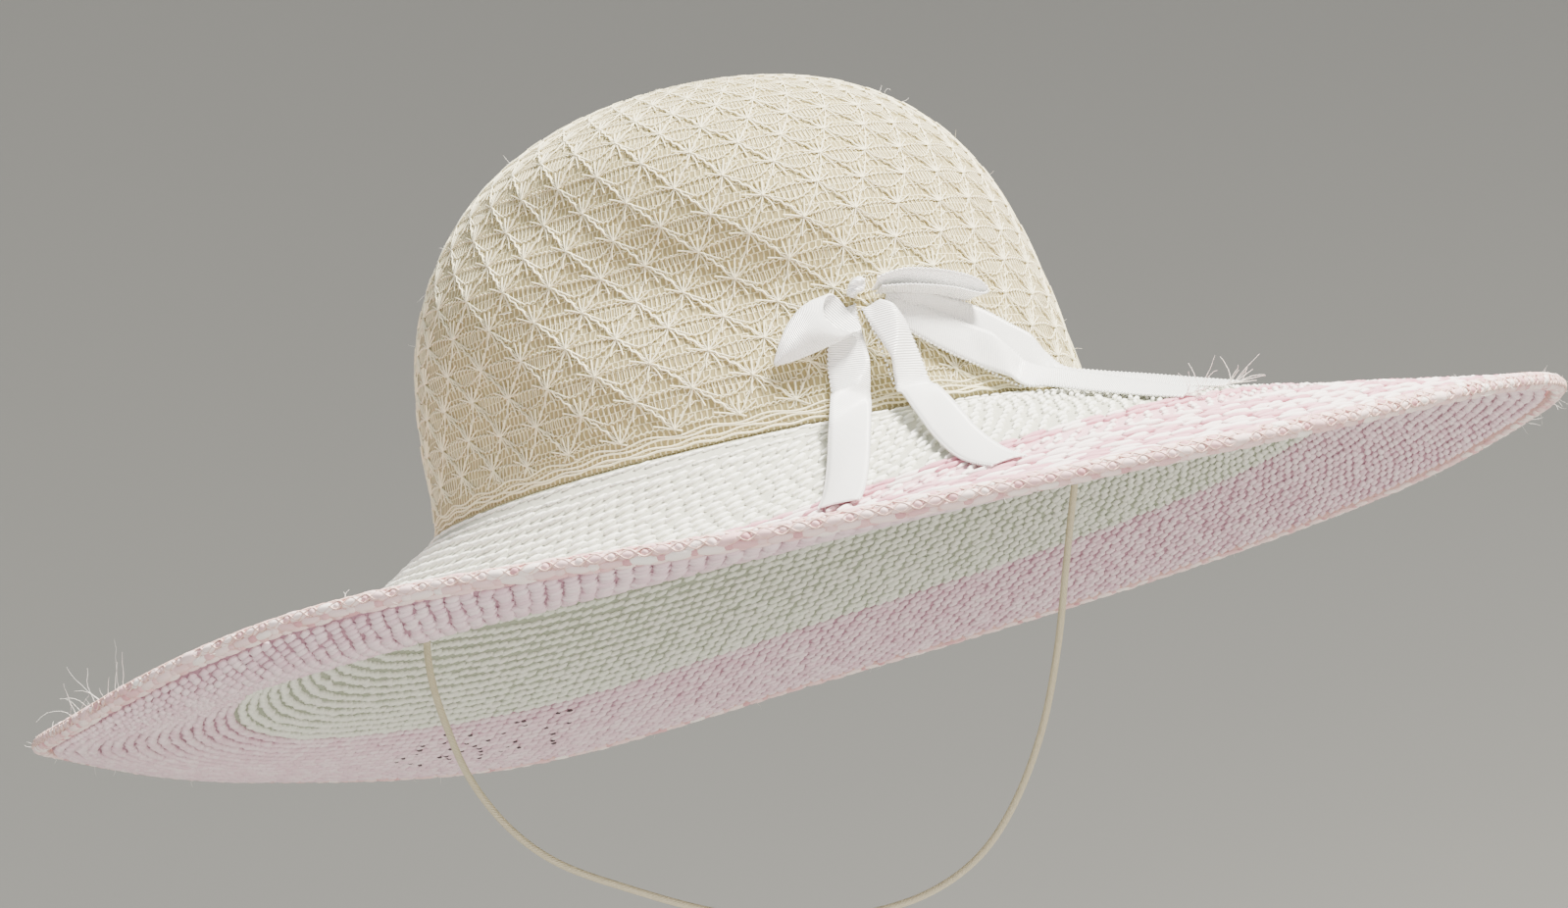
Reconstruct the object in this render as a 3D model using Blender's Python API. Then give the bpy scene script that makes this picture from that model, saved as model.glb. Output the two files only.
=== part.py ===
"""Soft summer sun hat: lace-knit crown, wide knitted brim with a stitched edge, ribbon bow, chin elastic.

The origin is the middle of the head opening, at the crown's foot. +Z runs up through the crown. The elastic is
fixed at the -X and +X sides of the opening, and the bow sits on the -Y side, a little towards +X. Azimuths are
measured about +Z from +X, so -90 degrees is the bow's side. All lengths are in metres.
"""

import math

import bmesh
import bpy
from mathutils import Vector

# Clearance that neighbouring pieces keep, the step that measures a surface's slope, and where faces look sharp
GAP = 0.0003
PROBE = 0.002
SHARP_ANGLE_DEG = 50.0

# Crown: a dome over an oval foot, whose wall turns outwards just above the brim
CROWN_HALF_WIDTH = 0.0920
CROWN_HALF_DEPTH = 0.0955
CROWN_HEIGHT = 0.1085
CROWN_WALL = 0.0015
CROWN_FOOT_FLARE = 0.0020
CROWN_FLARE_RISE = 0.0060
CROWN_LEAN = -0.0020
CROWN_SIDE_POWER = 2.7
CROWN_TOP_POWER = 2.5
CROWN_SEGMENTS = 52
CROWN_ROWS = 13
CROWN_ROW_CROWDING = 0.9

# Soft hollows (+) and swellings (-) of the crown's wall, as shares of the dent's depth, fading out at the top
DENT_DEPTH = 0.0085
DENT_FADE = 1.6
CROWN_DENTS = (
    # azimuth_deg, height_share, spread_deg, spread_share, depth_share
    (-104.0, 0.44, 23.0, 0.17, 1.00),
    (-84.0, 0.30, 17.0, 0.13, 0.45),
    (-122.0, 0.64, 17.0, 0.10, 0.40),
    (-118.0, 0.80, 30.0, 0.10, -0.25),
    (-74.0, 0.52, 16.0, 0.14, -0.30),
    (-138.0, 0.20, 18.0, 0.16, 0.35),
    (-150.0, 0.50, 16.0, 0.16, -0.15),
    (60.0, 0.55, 34.0, 0.22, 0.30),
    (140.0, 0.35, 26.0, 0.20, 0.25),
    (10.0, 0.40, 22.0, 0.20, 0.12),
)

# Brim: from under the crown's foot out to its stitched edge
BRIM_HALF_WIDTH = 0.2085
BRIM_HALF_DEPTH = 0.2012
BRIM_SHIFT = 0.0040
BRIM_DROP = 0.0360
BRIM_WALL = 0.0022
BRIM_SEGMENTS = 60
BRIM_ROW_SHARES = (0.0, 0.05, 0.12, 0.22, 0.34, 0.47, 0.60, 0.73, 0.87, 1.0)
BRIM_SADDLE = (
    # azimuth_deg, drop_share, curl: 0 is a straight slope, 1 ends level, more turns up at the edge
    (-180.0, 0.97, 2.00),
    (-150.0, 0.96, 1.30),
    (-120.0, 0.78, 2.30),
    (-90.0, 0.93, 1.20),
    (-60.0, 0.88, 0.25),
    (-30.0, 0.73, 0.10),
    (0.0, 0.71, 0.00),
    (30.0, 0.94, 0.15),
    (60.0, 1.17, 0.30),
    (90.0, 1.39, 0.45),
    (120.0, 1.60, 0.65),
    (150.0, 1.31, 1.30),
)

# Rim edge: a thick row of chain stitches along the brim's outer edge
RIM_WIDTH = 0.0044
RIM_THICK = 0.0038
RIM_SEGMENTS = 72
RIM_SIDES = 8

# Bow of satin ribbon, placed from its knot on the crown
RIBBON_WIDTH = 0.0100
RIBBON_THICK = 0.0010
RIBBON_SAG = 0.0006
RIBBON_STEPS = 3
FOOT_BEND = 0.0080
KNOT_AZIMUTH_DEG = -68.2
KNOT_HEIGHT_SHARE = 0.288
KNOT_HALF_LENGTH = 0.0029
KNOT_HALF_HEIGHT = 0.0018
KNOT_HALF_DEPTH = 0.0031
KNOT_LIFT = 0.0038
KNOT_TURN_DEG = 35.0
KNOT_TWIST_WAVES = 3
KNOT_TWIST_DEPTH = 0.12
KNOT_SEGMENTS = 12
KNOT_RINGS = 8
LOOP_WALL = 0.0008
LOOP_MOUTH_CUT = 0.30
LOOP_SIDES = 14
LOOP_STEPS = 2
LOOP_SOLID_ROWS = 3

# Ribbons, a row for each bend: across and up are measured over the hat from the knot, out from its surface, all
# as shares of the ribbon's width. turn is the ribbon's own left-to-right line, and tilt lifts its right side.
TAIL_LEFT = (
    # across, up, out, turn_deg, tilt_deg, width_share
    (-0.33, -0.42, 0.12, 12.0, 0.0, 0.50),
    (-0.60, -1.05, 0.12, 8.0, 0.0, 0.85),
    (-0.80, -1.80, 0.13, 4.0, 0.0, 1.00),
    (-0.93, -2.45, 0.18, 2.0, 0.0, 1.00),
    (-1.08, -3.00, 0.36, 4.0, -4.0, 1.00),
    (-1.32, -3.70, 0.50, -4.0, -4.0, 1.00),
    (-1.72, -4.90, 0.42, -12.0, 0.0, 1.00),
    (-2.10, -6.40, 0.26, -14.0, 0.0, 1.00),
    (-2.42, -8.00, 0.17, -14.0, 0.0, 1.00),
    (-2.62, -9.20, 0.14, -16.0, 0.0, 1.00),
)
TAIL_RIGHT = (
    # across, up, out, turn_deg, tilt_deg, width_share
    (0.13, -0.62, 0.50, 10.0, -6.0, 0.45),
    (0.28, -1.00, 0.56, 18.0, -6.0, 0.75),
    (0.42, -1.55, 0.54, 24.0, -4.0, 1.00),
    (0.50, -2.30, 0.46, 16.0, 0.0, 1.00),
    (0.52, -3.00, 0.48, 8.0, 0.0, 1.00),
    (0.36, -3.80, 0.58, 0.0, 0.0, 1.00),
    (0.00, -5.20, 0.46, -10.0, 0.0, 1.00),
    (-0.38, -7.00, 0.28, -12.0, 0.0, 1.00),
    (-0.62, -8.80, 0.18, -8.0, 0.0, 1.00),
    (-0.70, -10.40, 0.14, 0.0, 0.0, 0.85),
)
STREAMER_FRONT = (
    # across, up, out, turn_deg, tilt_deg, width_share
    (0.74, -0.62, 0.25, -125.0, 0.0, 0.55),
    (1.27, -0.99, 0.26, -122.0, 0.0, 0.78),
    (2.15, -1.50, 0.26, -118.0, 0.0, 1.00),
    (3.00, -1.98, 0.27, -120.0, 0.0, 1.00),
    (3.70, -2.52, 0.34, -128.0, 0.0, 1.00),
    (4.10, -3.05, 0.48, -140.0, 0.0, 1.00),
    (4.22, -3.90, 0.46, -156.0, 0.0, 1.00),
    (4.02, -5.20, 0.28, -172.0, 0.0, 1.00),
    (3.72, -6.80, 0.17, -176.0, 0.0, 1.00),
    (3.48, -8.40, 0.14, -178.0, 0.0, 0.95),
)
STREAMER_BACK = (
    # across, up, out, turn_deg, tilt_deg, width_share
    (0.80, -0.22, 0.10, -116.0, 0.0, 0.55),
    (1.40, -0.52, 0.10, -114.0, 0.0, 0.80),
    (2.45, -0.95, 0.11, -112.0, 0.0, 1.00),
    (3.65, -1.42, 0.11, -114.0, 0.0, 1.00),
    (4.75, -1.95, 0.12, -118.0, 0.0, 1.00),
    (5.55, -2.50, 0.20, -128.0, 0.0, 1.00),
    (5.98, -3.05, 0.40, -142.0, 0.0, 1.00),
    (6.06, -3.95, 0.42, -162.0, 0.0, 1.00),
    (5.86, -5.20, 0.24, -174.0, 0.0, 1.00),
    (5.62, -6.60, 0.15, -178.0, 0.0, 1.00),
    (5.44, -7.70, 0.14, -180.0, 0.0, 0.95),
)
LOOP_RIGHT_BAND = (
    # across, up, out, turn_deg, tilt_deg, width_share
    (0.46, 0.24, 0.64, 90.0, 76.0, 0.55),
    (1.10, 0.34, 0.66, 84.0, 76.0, 0.78),
    (2.00, 0.20, 0.66, 76.0, 76.0, 0.84),
    (2.90, -0.08, 0.64, 72.0, 76.0, 0.82),
    (3.42, -0.30, 0.62, 40.0, 78.0, 0.74),
    (3.46, -0.48, 0.62, -30.0, 80.0, 0.72),
    (3.10, -0.52, 0.63, -80.0, 84.0, 0.74),
    (2.20, -0.26, 0.64, -100.0, 86.0, 0.78),
    (1.20, -0.02, 0.64, -98.0, 88.0, 0.70),
    (0.52, 0.02, 0.62, -96.0, 88.0, 0.50),
)
LOOP_LEFT_SECTIONS = (
    # across, up, out, half_height, half_depth: from the folded tip to the open mouth by the knot
    (-2.78, -1.56, 0.26, 0.05, 0.05),
    (-2.40, -1.36, 0.34, 0.28, 0.13),
    (-1.98, -1.14, 0.42, 0.46, 0.20),
    (-1.52, -0.95, 0.50, 0.56, 0.25),
    (-1.08, -0.80, 0.54, 0.60, 0.28),
    (-0.66, -0.66, 0.54, 0.56, 0.27),
)

# Chin elastic: a thin round cord, whose two ends are knotted inside the foot of the crown
ELASTIC_DIAMETER = 0.0020
ELASTIC_POINTS = 72
ELASTIC_STEPS = 12
ELASTIC_KNOT_RADIUS = 0.0022
ELASTIC_KNOT_DROP = 0.0022
ELASTIC_ROUTE = (
    # x, y, z from the left knot down and round to the right one
    (-0.0896, -0.0015, -0.0052),
    (-0.0925, -0.0030, -0.0100),
    (-0.0975, -0.0048, -0.0162),
    (-0.1015, -0.0062, -0.0238),
    (-0.1026, -0.0080, -0.0364),
    (-0.1009, -0.0100, -0.0506),
    (-0.0970, -0.0120, -0.0666),
    (-0.0889, -0.0140, -0.0819),
    (-0.0774, -0.0160, -0.0940),
    (-0.0603, -0.0170, -0.1045),
    (-0.0400, -0.0155, -0.1150),
    (-0.0200, -0.0120, -0.1222),
    (0.0000, -0.0070, -0.1250),
    (0.0190, -0.0020, -0.1236),
    (0.0350, 0.0020, -0.1170),
    (0.0480, 0.0048, -0.1050),
    (0.0600, 0.0062, -0.0870),
    (0.0695, 0.0064, -0.0655),
    (0.0770, 0.0056, -0.0430),
    (0.0833, 0.0042, -0.0240),
    (0.0878, 0.0028, -0.0115),
    (0.0896, 0.0015, -0.0052),
)


def clear_scene():
    """Empty the scene that the hat is built in."""
    for item in list(bpy.data.objects):
        bpy.data.objects.remove(item)


def linear(value):
    """One sRGB channel, 0 to 1, as linear light."""
    return value / 12.92 if value <= 0.04045 else ((value + 0.055) / 1.055) ** 2.4


def material(name, hex_colour, roughness):
    """A plain Principled material."""
    made = bpy.data.materials.new(name)
    made.use_nodes = True
    shader = made.node_tree.nodes["Principled BSDF"]
    channels = [linear(int(hex_colour[i:i + 2], 16) / 255) for i in (0, 2, 4)]
    shader.inputs["Base Color"].default_value = (*channels, 1.0)
    shader.inputs["Roughness"].default_value = roughness
    shader.inputs["Metallic"].default_value = 0.0
    return made


def add_object(name, mesh_data, finish):
    """Put a bmesh into the scene as one named, smooth object."""
    bmesh.ops.recalc_face_normals(mesh_data, faces=mesh_data.faces)
    if mesh_data.calc_volume(signed=True) < 0.0:
        bmesh.ops.reverse_faces(mesh_data, faces=mesh_data.faces)
    mesh = bpy.data.meshes.new(name)
    mesh_data.to_mesh(mesh)
    mesh_data.free()
    mesh.shade_smooth()
    mesh.set_sharp_from_angle(angle=math.radians(SHARP_ANGLE_DEG))
    mesh.materials.append(finish)
    made = bpy.data.objects.new(name, mesh)
    bpy.context.collection.objects.link(made)
    return made


def smooth_step(before, start, end, after, share):
    """A point of the smooth curve from start to end, which heads the way its neighbours lie."""
    s2 = share * share
    s3 = s2 * share
    return 0.5 * (
        2.0 * start
        + (end - before) * share
        + (2.0 * before - 5.0 * start + 4.0 * end - after) * s2
        + (3.0 * start - before - 3.0 * end + after) * s3
    )


def smooth_rows(rows, steps):
    """Rows of numbers with smooth rows added between them, open at both ends."""
    out = []
    for i in range(len(rows) - 1):
        around = [rows[max(i - 1, 0)], rows[i], rows[i + 1], rows[min(i + 2, len(rows) - 1)]]
        for k in range(steps):
            out.append([smooth_step(*values, k / steps) for values in zip(*around)])
    out.append(list(rows[-1]))
    return out


def crown_dent(azimuth, height_share):
    """How far the soft wall stands in at a place on the crown."""
    depth = 0.0
    for azimuth_deg, at_share, spread_deg, spread_share, depth_share in CROWN_DENTS:
        turned = math.degrees(azimuth) - azimuth_deg
        turned = (turned + 180.0) % 360.0 - 180.0
        away = (turned / spread_deg) ** 2 + ((height_share - at_share) / spread_share) ** 2
        depth += depth_share * math.exp(-away)
    return DENT_DEPTH * depth


def crown_point(azimuth, height_share):
    """A point of the crown's outside."""
    height_share = min(max(height_share, 0.0), 1.0)
    spread = (1.0 - height_share ** CROWN_SIDE_POWER) ** (1.0 / CROWN_TOP_POWER)
    flare = CROWN_FOOT_FLARE * math.exp(-height_share * CROWN_HEIGHT / CROWN_FLARE_RISE)
    offset = flare - crown_dent(azimuth, height_share) * min(1.0, DENT_FADE * spread)
    lean = CROWN_LEAN * math.sin(math.pi * height_share)
    return Vector((
        (CROWN_HALF_WIDTH * spread + offset) * math.cos(azimuth) + lean,
        (CROWN_HALF_DEPTH * spread + offset) * math.sin(azimuth),
        CROWN_HEIGHT * height_share,
    ))


def brim_saddle(azimuth, column):
    """The brim's drop or curl at an azimuth, smooth right round."""
    count = len(BRIM_SADDLE)
    place = (math.degrees(azimuth) - BRIM_SADDLE[0][0]) / 360.0 * count
    start = math.floor(place)
    values = [BRIM_SADDLE[(start + k) % count][column] for k in (-1, 0, 1, 2)]
    return smooth_step(*values, place - start)


def brim_point(azimuth, share):
    """A point of the brim's top, from the crown's foot (0) to its outer edge (1)."""
    drop = BRIM_DROP * brim_saddle(azimuth, 1)
    curl = brim_saddle(azimuth, 2)
    foot_width = CROWN_HALF_WIDTH + CROWN_FOOT_FLARE
    foot_depth = CROWN_HALF_DEPTH + CROWN_FOOT_FLARE
    return Vector((
        (foot_width + (BRIM_HALF_WIDTH - foot_width) * share) * math.cos(azimuth) + BRIM_SHIFT * share,
        (foot_depth + (BRIM_HALF_DEPTH - foot_depth) * share) * math.sin(azimuth),
        -GAP - drop * ((1.0 + curl) * share - curl * share * share),
    ))


def outward(surface, azimuth, share):
    """The unit normal of crown_point or brim_point, away from the head."""
    low = max(share - PROBE, 0.0)
    high = min(share + PROBE, 1.0 - PROBE / 2)
    around = surface(azimuth + PROBE, share) - surface(azimuth - PROBE, share)
    along = surface(azimuth, high) - surface(azimuth, low)
    normal = around.cross(along) if surface is crown_point else along.cross(around)
    return normal.normalized()


def hat_normal(azimuth, height):
    """Unit direction out of the hat, turning smoothly from the crown's wall to the brim at the foot."""
    share = max(height, 0.0) / CROWN_HEIGHT
    brim_share = max(-height, 0.0) / (BRIM_HALF_DEPTH - CROWN_HALF_DEPTH)
    blend = min(max(0.5 + height / (2.0 * FOOT_BEND), 0.0), 1.0)
    crown_normal = outward(crown_point, azimuth, share)
    brim_normal = outward(brim_point, azimuth, brim_share)
    return (crown_normal * blend + brim_normal * (1.0 - blend)).normalized()


def hat_place(across, up, out):
    """A place measured over the hat from the bow's knot: across and up over its surface, out from it."""
    azimuth = math.radians(KNOT_AZIMUTH_DEG) + across / CROWN_HALF_WIDTH
    height = CROWN_HEIGHT * KNOT_HEIGHT_SHARE + up
    if height >= 0.0:
        point = crown_point(azimuth, height / CROWN_HEIGHT)
    else:
        point = brim_point(azimuth, -height / (BRIM_HALF_DEPTH - CROWN_HALF_DEPTH))
    return point + hat_normal(azimuth, height) * out


def hat_frame(across, up, out):
    """A place over the hat, with its across, up and out directions."""
    azimuth = math.radians(KNOT_AZIMUTH_DEG) + across / CROWN_HALF_WIDTH
    normal = hat_normal(azimuth, CROWN_HEIGHT * KNOT_HEIGHT_SHARE + up)
    sideways = Vector((-math.sin(azimuth), math.cos(azimuth), 0.0))
    sideways = (sideways - normal * sideways.dot(normal)).normalized()
    return hat_place(across, up, out), sideways, normal.cross(sideways), normal


def clear_of_hat(point, lift):
    """The point, moved out or up where it is nearer than lift to the crown's wall or the brim's top."""
    point = point.copy()
    azimuth = math.atan2(point.y / CROWN_HALF_DEPTH, point.x / CROWN_HALF_WIDTH)
    wall = crown_point(azimuth, max(point.z, 0.0) / CROWN_HEIGHT)
    short = lift - (point.xy.length - wall.xy.length)
    if short > 0.0:
        point.xy += point.xy.normalized() * short
    foot_width = CROWN_HALF_WIDTH + CROWN_FOOT_FLARE
    foot_depth = CROWN_HALF_DEPTH + CROWN_FOOT_FLARE
    share = 0.0
    for _ in range(4):
        x = (point.x - BRIM_SHIFT * share) / (foot_width + (BRIM_HALF_WIDTH - foot_width) * share)
        y = point.y / (foot_depth + (BRIM_HALF_DEPTH - foot_depth) * share)
        azimuth = math.atan2(y, x)
        share = max(share + (math.hypot(x, y) - 1.0) * foot_width / (BRIM_HALF_WIDTH - foot_width), 0.0)
    top = brim_point(azimuth, min(share, 1.0))
    slope = outward(brim_point, azimuth, min(share, 1.0)).z
    point.z = max(point.z, top.z + lift / slope)
    return point


def close_ring_surface(made, rings):
    """Bridge each closed ring of vertices to the next."""
    for ring_a, ring_b in zip(rings, rings[1:]):
        count = len(ring_a)
        for i in range(count):
            j = (i + 1) % count
            made.faces.new((ring_a[i], ring_a[j], ring_b[j], ring_b[i]))


def build_crown(fabric):
    """Hollow dome: the outer wall down to the foot, then the inner wall back up."""
    made = bmesh.new()
    azimuths = [math.tau * i / CROWN_SEGMENTS for i in range(CROWN_SEGMENTS)]
    climbs = [0.5 * math.pi * (r / CROWN_ROWS) ** CROWN_ROW_CROWDING for r in range(CROWN_ROWS)]
    shares = [math.sin(climb) ** (2.0 / CROWN_SIDE_POWER) for climb in climbs]
    outer = []
    inner = []
    for share in shares:
        outer_ring = []
        inner_ring = []
        for azimuth in azimuths:
            point = crown_point(azimuth, share)
            normal = outward(crown_point, azimuth, share)
            if share == 0.0:
                normal = Vector((normal.x, normal.y, 0.0)).normalized()
            outer_ring.append(made.verts.new(point))
            inner_ring.append(made.verts.new(point - normal * CROWN_WALL))
        outer.append(outer_ring)
        inner.append(inner_ring)
    close_ring_surface(made, outer[::-1] + inner)
    top = crown_point(0.0, 1.0)
    for ring, depth in ((outer[-1], 0.0), (inner[-1], CROWN_WALL)):
        apex = made.verts.new(top - Vector((0.0, 0.0, depth)))
        for i in range(CROWN_SEGMENTS):
            made.faces.new((ring[i], ring[(i + 1) % CROWN_SEGMENTS], apex))
    return add_object("crown", made, fabric)


def build_brim(cotton):
    """Brim wall, whose collar lies flat under the crown's foot."""
    made = bmesh.new()
    azimuths = [math.tau * i / BRIM_SEGMENTS for i in range(BRIM_SEGMENTS)]
    top = []
    bottom = []
    for share in BRIM_ROW_SHARES:
        top_ring = []
        bottom_ring = []
        for azimuth in azimuths:
            point = brim_point(azimuth, share)
            normal = Vector((0, 0, 1)) if share == 0.0 else outward(brim_point, azimuth, share)
            top_ring.append(made.verts.new(point))
            bottom_ring.append(made.verts.new(point - normal * BRIM_WALL))
        top.append(top_ring)
        bottom.append(bottom_ring)
    collar_top = []
    collar_bottom = []
    for azimuth in azimuths:
        point = brim_point(azimuth, 0.0) - Vector((math.cos(azimuth), math.sin(azimuth), 0.0)) * CROWN_WALL
        collar_top.append(made.verts.new(point))
        collar_bottom.append(made.verts.new(point - Vector((0, 0, BRIM_WALL))))
    close_ring_surface(made, [collar_top] + top + bottom[::-1] + [collar_bottom, collar_top])
    return add_object("brim", made, cotton)


def build_rim_edge(cotton):
    """Thick stitched edge, a clearance away from the brim's outer edge all round."""
    made = bmesh.new()
    rings = []
    for i in range(RIM_SEGMENTS):
        azimuth = math.tau * i / RIM_SEGMENTS
        edge = brim_point(azimuth, 1.0)
        normal = outward(brim_point, azimuth, 1.0)
        reach = (edge - brim_point(azimuth, 1.0 - 5.0 * PROBE)).normalized()
        centre = edge - normal * BRIM_WALL / 2 + reach * (GAP + RIM_WIDTH / 2)
        ring = []
        for k in range(RIM_SIDES):
            angle = math.tau * (k + 0.5) / RIM_SIDES
            flat = math.cos(math.pi / RIM_SIDES)
            side = reach * math.cos(angle) * RIM_WIDTH / 2 / flat
            rise = normal * math.sin(angle) * RIM_THICK / 2 / flat
            ring.append(made.verts.new(centre + side + rise))
        rings.append(ring)
    close_ring_surface(made, rings + [rings[0]])
    return add_object("rim_edge", made, cotton)


def build_ribbon(name, rows, satin):
    """A flat ribbon that follows a table of bends over the hat."""
    edges = []
    for across, up, out, turn_deg, tilt_deg, width_share in rows:
        half = width_share * RIBBON_WIDTH / 2
        tilt = math.radians(tilt_deg)
        side = half * math.cos(tilt) * math.cos(math.radians(turn_deg))
        rise = half * math.cos(tilt) * math.sin(math.radians(turn_deg))
        out_step = half * math.sin(tilt)
        across, up, out = (value * RIBBON_WIDTH for value in (across, up, out))
        centre, sideways, upward, normal = hat_frame(across, up, out)
        reach = sideways * side + upward * rise + normal * out_step
        edges.append((*(centre - reach), *(centre + reach)))
    lift = RIBBON_THICK / 2 + GAP + RIBBON_SAG
    made = bmesh.new()
    pairs = []
    for values in smooth_rows(edges, RIBBON_STEPS):
        pairs.append((clear_of_hat(Vector(values[:3]), lift), clear_of_hat(Vector(values[3:]), lift)))
    rings = []
    for i, (left, right) in enumerate(pairs):
        before = pairs[max(i - 1, 0)]
        after = pairs[min(i + 1, len(pairs) - 1)]
        along = after[0] + after[1] - before[0] - before[1]
        face = (right - left).cross(along).normalized() * RIBBON_THICK / 2
        corners = (left + face, right + face, right - face, left - face)
        rings.append([made.verts.new(corner) for corner in corners])
    close_ring_surface(made, rings)
    made.faces.new(rings[0])
    made.faces.new(rings[-1])
    return add_object(name, made, satin)


def build_loop_left(satin):
    """Ribbon loop: a flattened hollow cone whose near side is cut back to an open mouth."""
    places = []
    for across, up, out, half_height, half_depth in smooth_rows(LOOP_LEFT_SECTIONS, LOOP_STEPS):
        centre, _, _, normal = hat_frame(across * RIBBON_WIDTH, up * RIBBON_WIDTH, out * RIBBON_WIDTH)
        places.append((centre, normal, half_height, half_depth))
    tip = places[0][0]
    axis = (places[-1][0] - tip).normalized()
    length = (places[-1][0] - tip).length
    made = bmesh.new()
    outer = []
    inner = []
    for centre, normal, half_height, half_depth in places:
        depth_way = (normal - axis * normal.dot(axis)).normalized()
        height_way = depth_way.cross(axis)
        along = (centre - tip).dot(axis) / length
        rings = ([], [])
        for k in range(LOOP_SIDES):
            angle = math.tau * k / LOOP_SIDES
            near = 0.5 + 0.5 * math.cos(angle)
            back = axis * length * along * along * LOOP_MOUTH_CUT * near * near
            for ring, wall in zip(rings, (0.0, LOOP_WALL)):
                depth = max(half_depth * RIBBON_WIDTH - wall, GAP) * math.cos(angle)
                height = max(half_height * RIBBON_WIDTH - wall, GAP) * math.sin(angle)
                ring.append(centre - back + depth_way * depth + height_way * height)
        outer.append(rings[0])
        inner.append(rings[1])
    outer_verts = [[made.verts.new(point) for point in ring] for ring in outer]
    inner_verts = [[made.verts.new(point) for point in ring] for ring in inner[LOOP_SOLID_ROWS:]]
    close_ring_surface(made, outer_verts + inner_verts[::-1])
    made.faces.new(outer_verts[0])
    made.faces.new(inner_verts[0])
    return add_object("bow_loop_left", made, satin)


def build_bow_knot(satin):
    """Small twisted crumple that gathers the bow."""
    centre, sideways, upward, normal = hat_frame(0.0, 0.0, KNOT_LIFT)
    turn = math.radians(KNOT_TURN_DEG)
    length_way = sideways * math.cos(turn) + upward * math.sin(turn)
    height_way = normal.cross(length_way)
    made = bmesh.new()
    bmesh.ops.create_uvsphere(made, u_segments=KNOT_SEGMENTS, v_segments=KNOT_RINGS, radius=1.0)
    for vert in made.verts:
        across, up, out = vert.co
        pleat = 1.0 + KNOT_TWIST_DEPTH * math.sin(KNOT_TWIST_WAVES * math.atan2(up, out) + 2.0 * across)
        vert.co = (
            centre
            + length_way * across * KNOT_HALF_LENGTH
            + height_way * up * pleat * KNOT_HALF_HEIGHT
            + normal * out * pleat * KNOT_HALF_DEPTH
        )
    return add_object("bow_knot", made, satin)


def elastic_knot_centre(side):
    """Middle of the knot inside the crown's foot, on the -X (-1) or +X (+1) side."""
    foot = CROWN_HALF_WIDTH + CROWN_FOOT_FLARE - CROWN_WALL
    return Vector((side * (foot - GAP - ELASTIC_KNOT_RADIUS), 0.0, -ELASTIC_KNOT_DROP))


def build_elastic_knot(name, side, rubber):
    """Round knot in the end of the elastic."""
    made = bmesh.new()
    bmesh.ops.create_uvsphere(made, u_segments=KNOT_SEGMENTS, v_segments=KNOT_RINGS, radius=ELASTIC_KNOT_RADIUS)
    bmesh.ops.translate(made, verts=made.verts, vec=elastic_knot_centre(side))
    return add_object(name, made, rubber)


def even_points(points, count):
    """Points at even spacing along a polyline."""
    lengths = [0.0]
    for a, b in zip(points, points[1:]):
        lengths.append(lengths[-1] + (b - a).length)
    out = []
    k = 0
    for i in range(count):
        target = lengths[-1] * i / (count - 1)
        while k < len(points) - 2 and lengths[k + 1] < target:
            k += 1
        share = (target - lengths[k]) / (lengths[k + 1] - lengths[k])
        out.append(points[k].lerp(points[k + 1], share))
    return out


def build_chin_elastic(rubber):
    """The cord itself: a round tube along a smooth curve through its route."""
    dense = [Vector(row) for row in smooth_rows(ELASTIC_ROUTE, ELASTIC_STEPS)]
    curve = bpy.data.curves.new("chin_elastic", "CURVE")
    curve.dimensions = "3D"
    curve.bevel_depth = ELASTIC_DIAMETER / 2
    curve.bevel_resolution = 2
    curve.use_fill_caps = True
    spline = curve.splines.new("POLY")
    points = even_points(dense, ELASTIC_POINTS)
    spline.points.add(len(points) - 1)
    for item, point in zip(spline.points, points):
        item.co = (*point, 1.0)
    curve.materials.append(rubber)
    made = bpy.data.objects.new("chin_elastic", curve)
    bpy.context.collection.objects.link(made)
    return made


def main():
    """Build the whole hat."""
    clear_scene()
    ivory = material("ivory lace knit", "F0ECDD", 0.85)
    pink = material("pink cotton yarn", "E0BAC4", 0.80)
    satin = material("white satin ribbon", "F4F3EE", 0.30)
    rubber = material("beige elastic cord", "B8A888", 0.60)
    build_crown(ivory)
    build_brim(pink)
    build_rim_edge(pink)
    build_bow_knot(satin)
    build_loop_left(satin)
    build_ribbon("bow_loop_right", LOOP_RIGHT_BAND, satin)
    build_ribbon("tail_left", TAIL_LEFT, satin)
    build_ribbon("tail_right", TAIL_RIGHT, satin)
    build_ribbon("streamer_front", STREAMER_FRONT, satin)
    build_ribbon("streamer_back", STREAMER_BACK, satin)
    build_elastic_knot("elastic_knot_left", -1.0, rubber)
    build_elastic_knot("elastic_knot_right", 1.0, rubber)
    build_chin_elastic(rubber)


main()
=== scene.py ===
import math

import bmesh
import bpy
import numpy as np
from mathutils import Matrix, Vector


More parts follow.
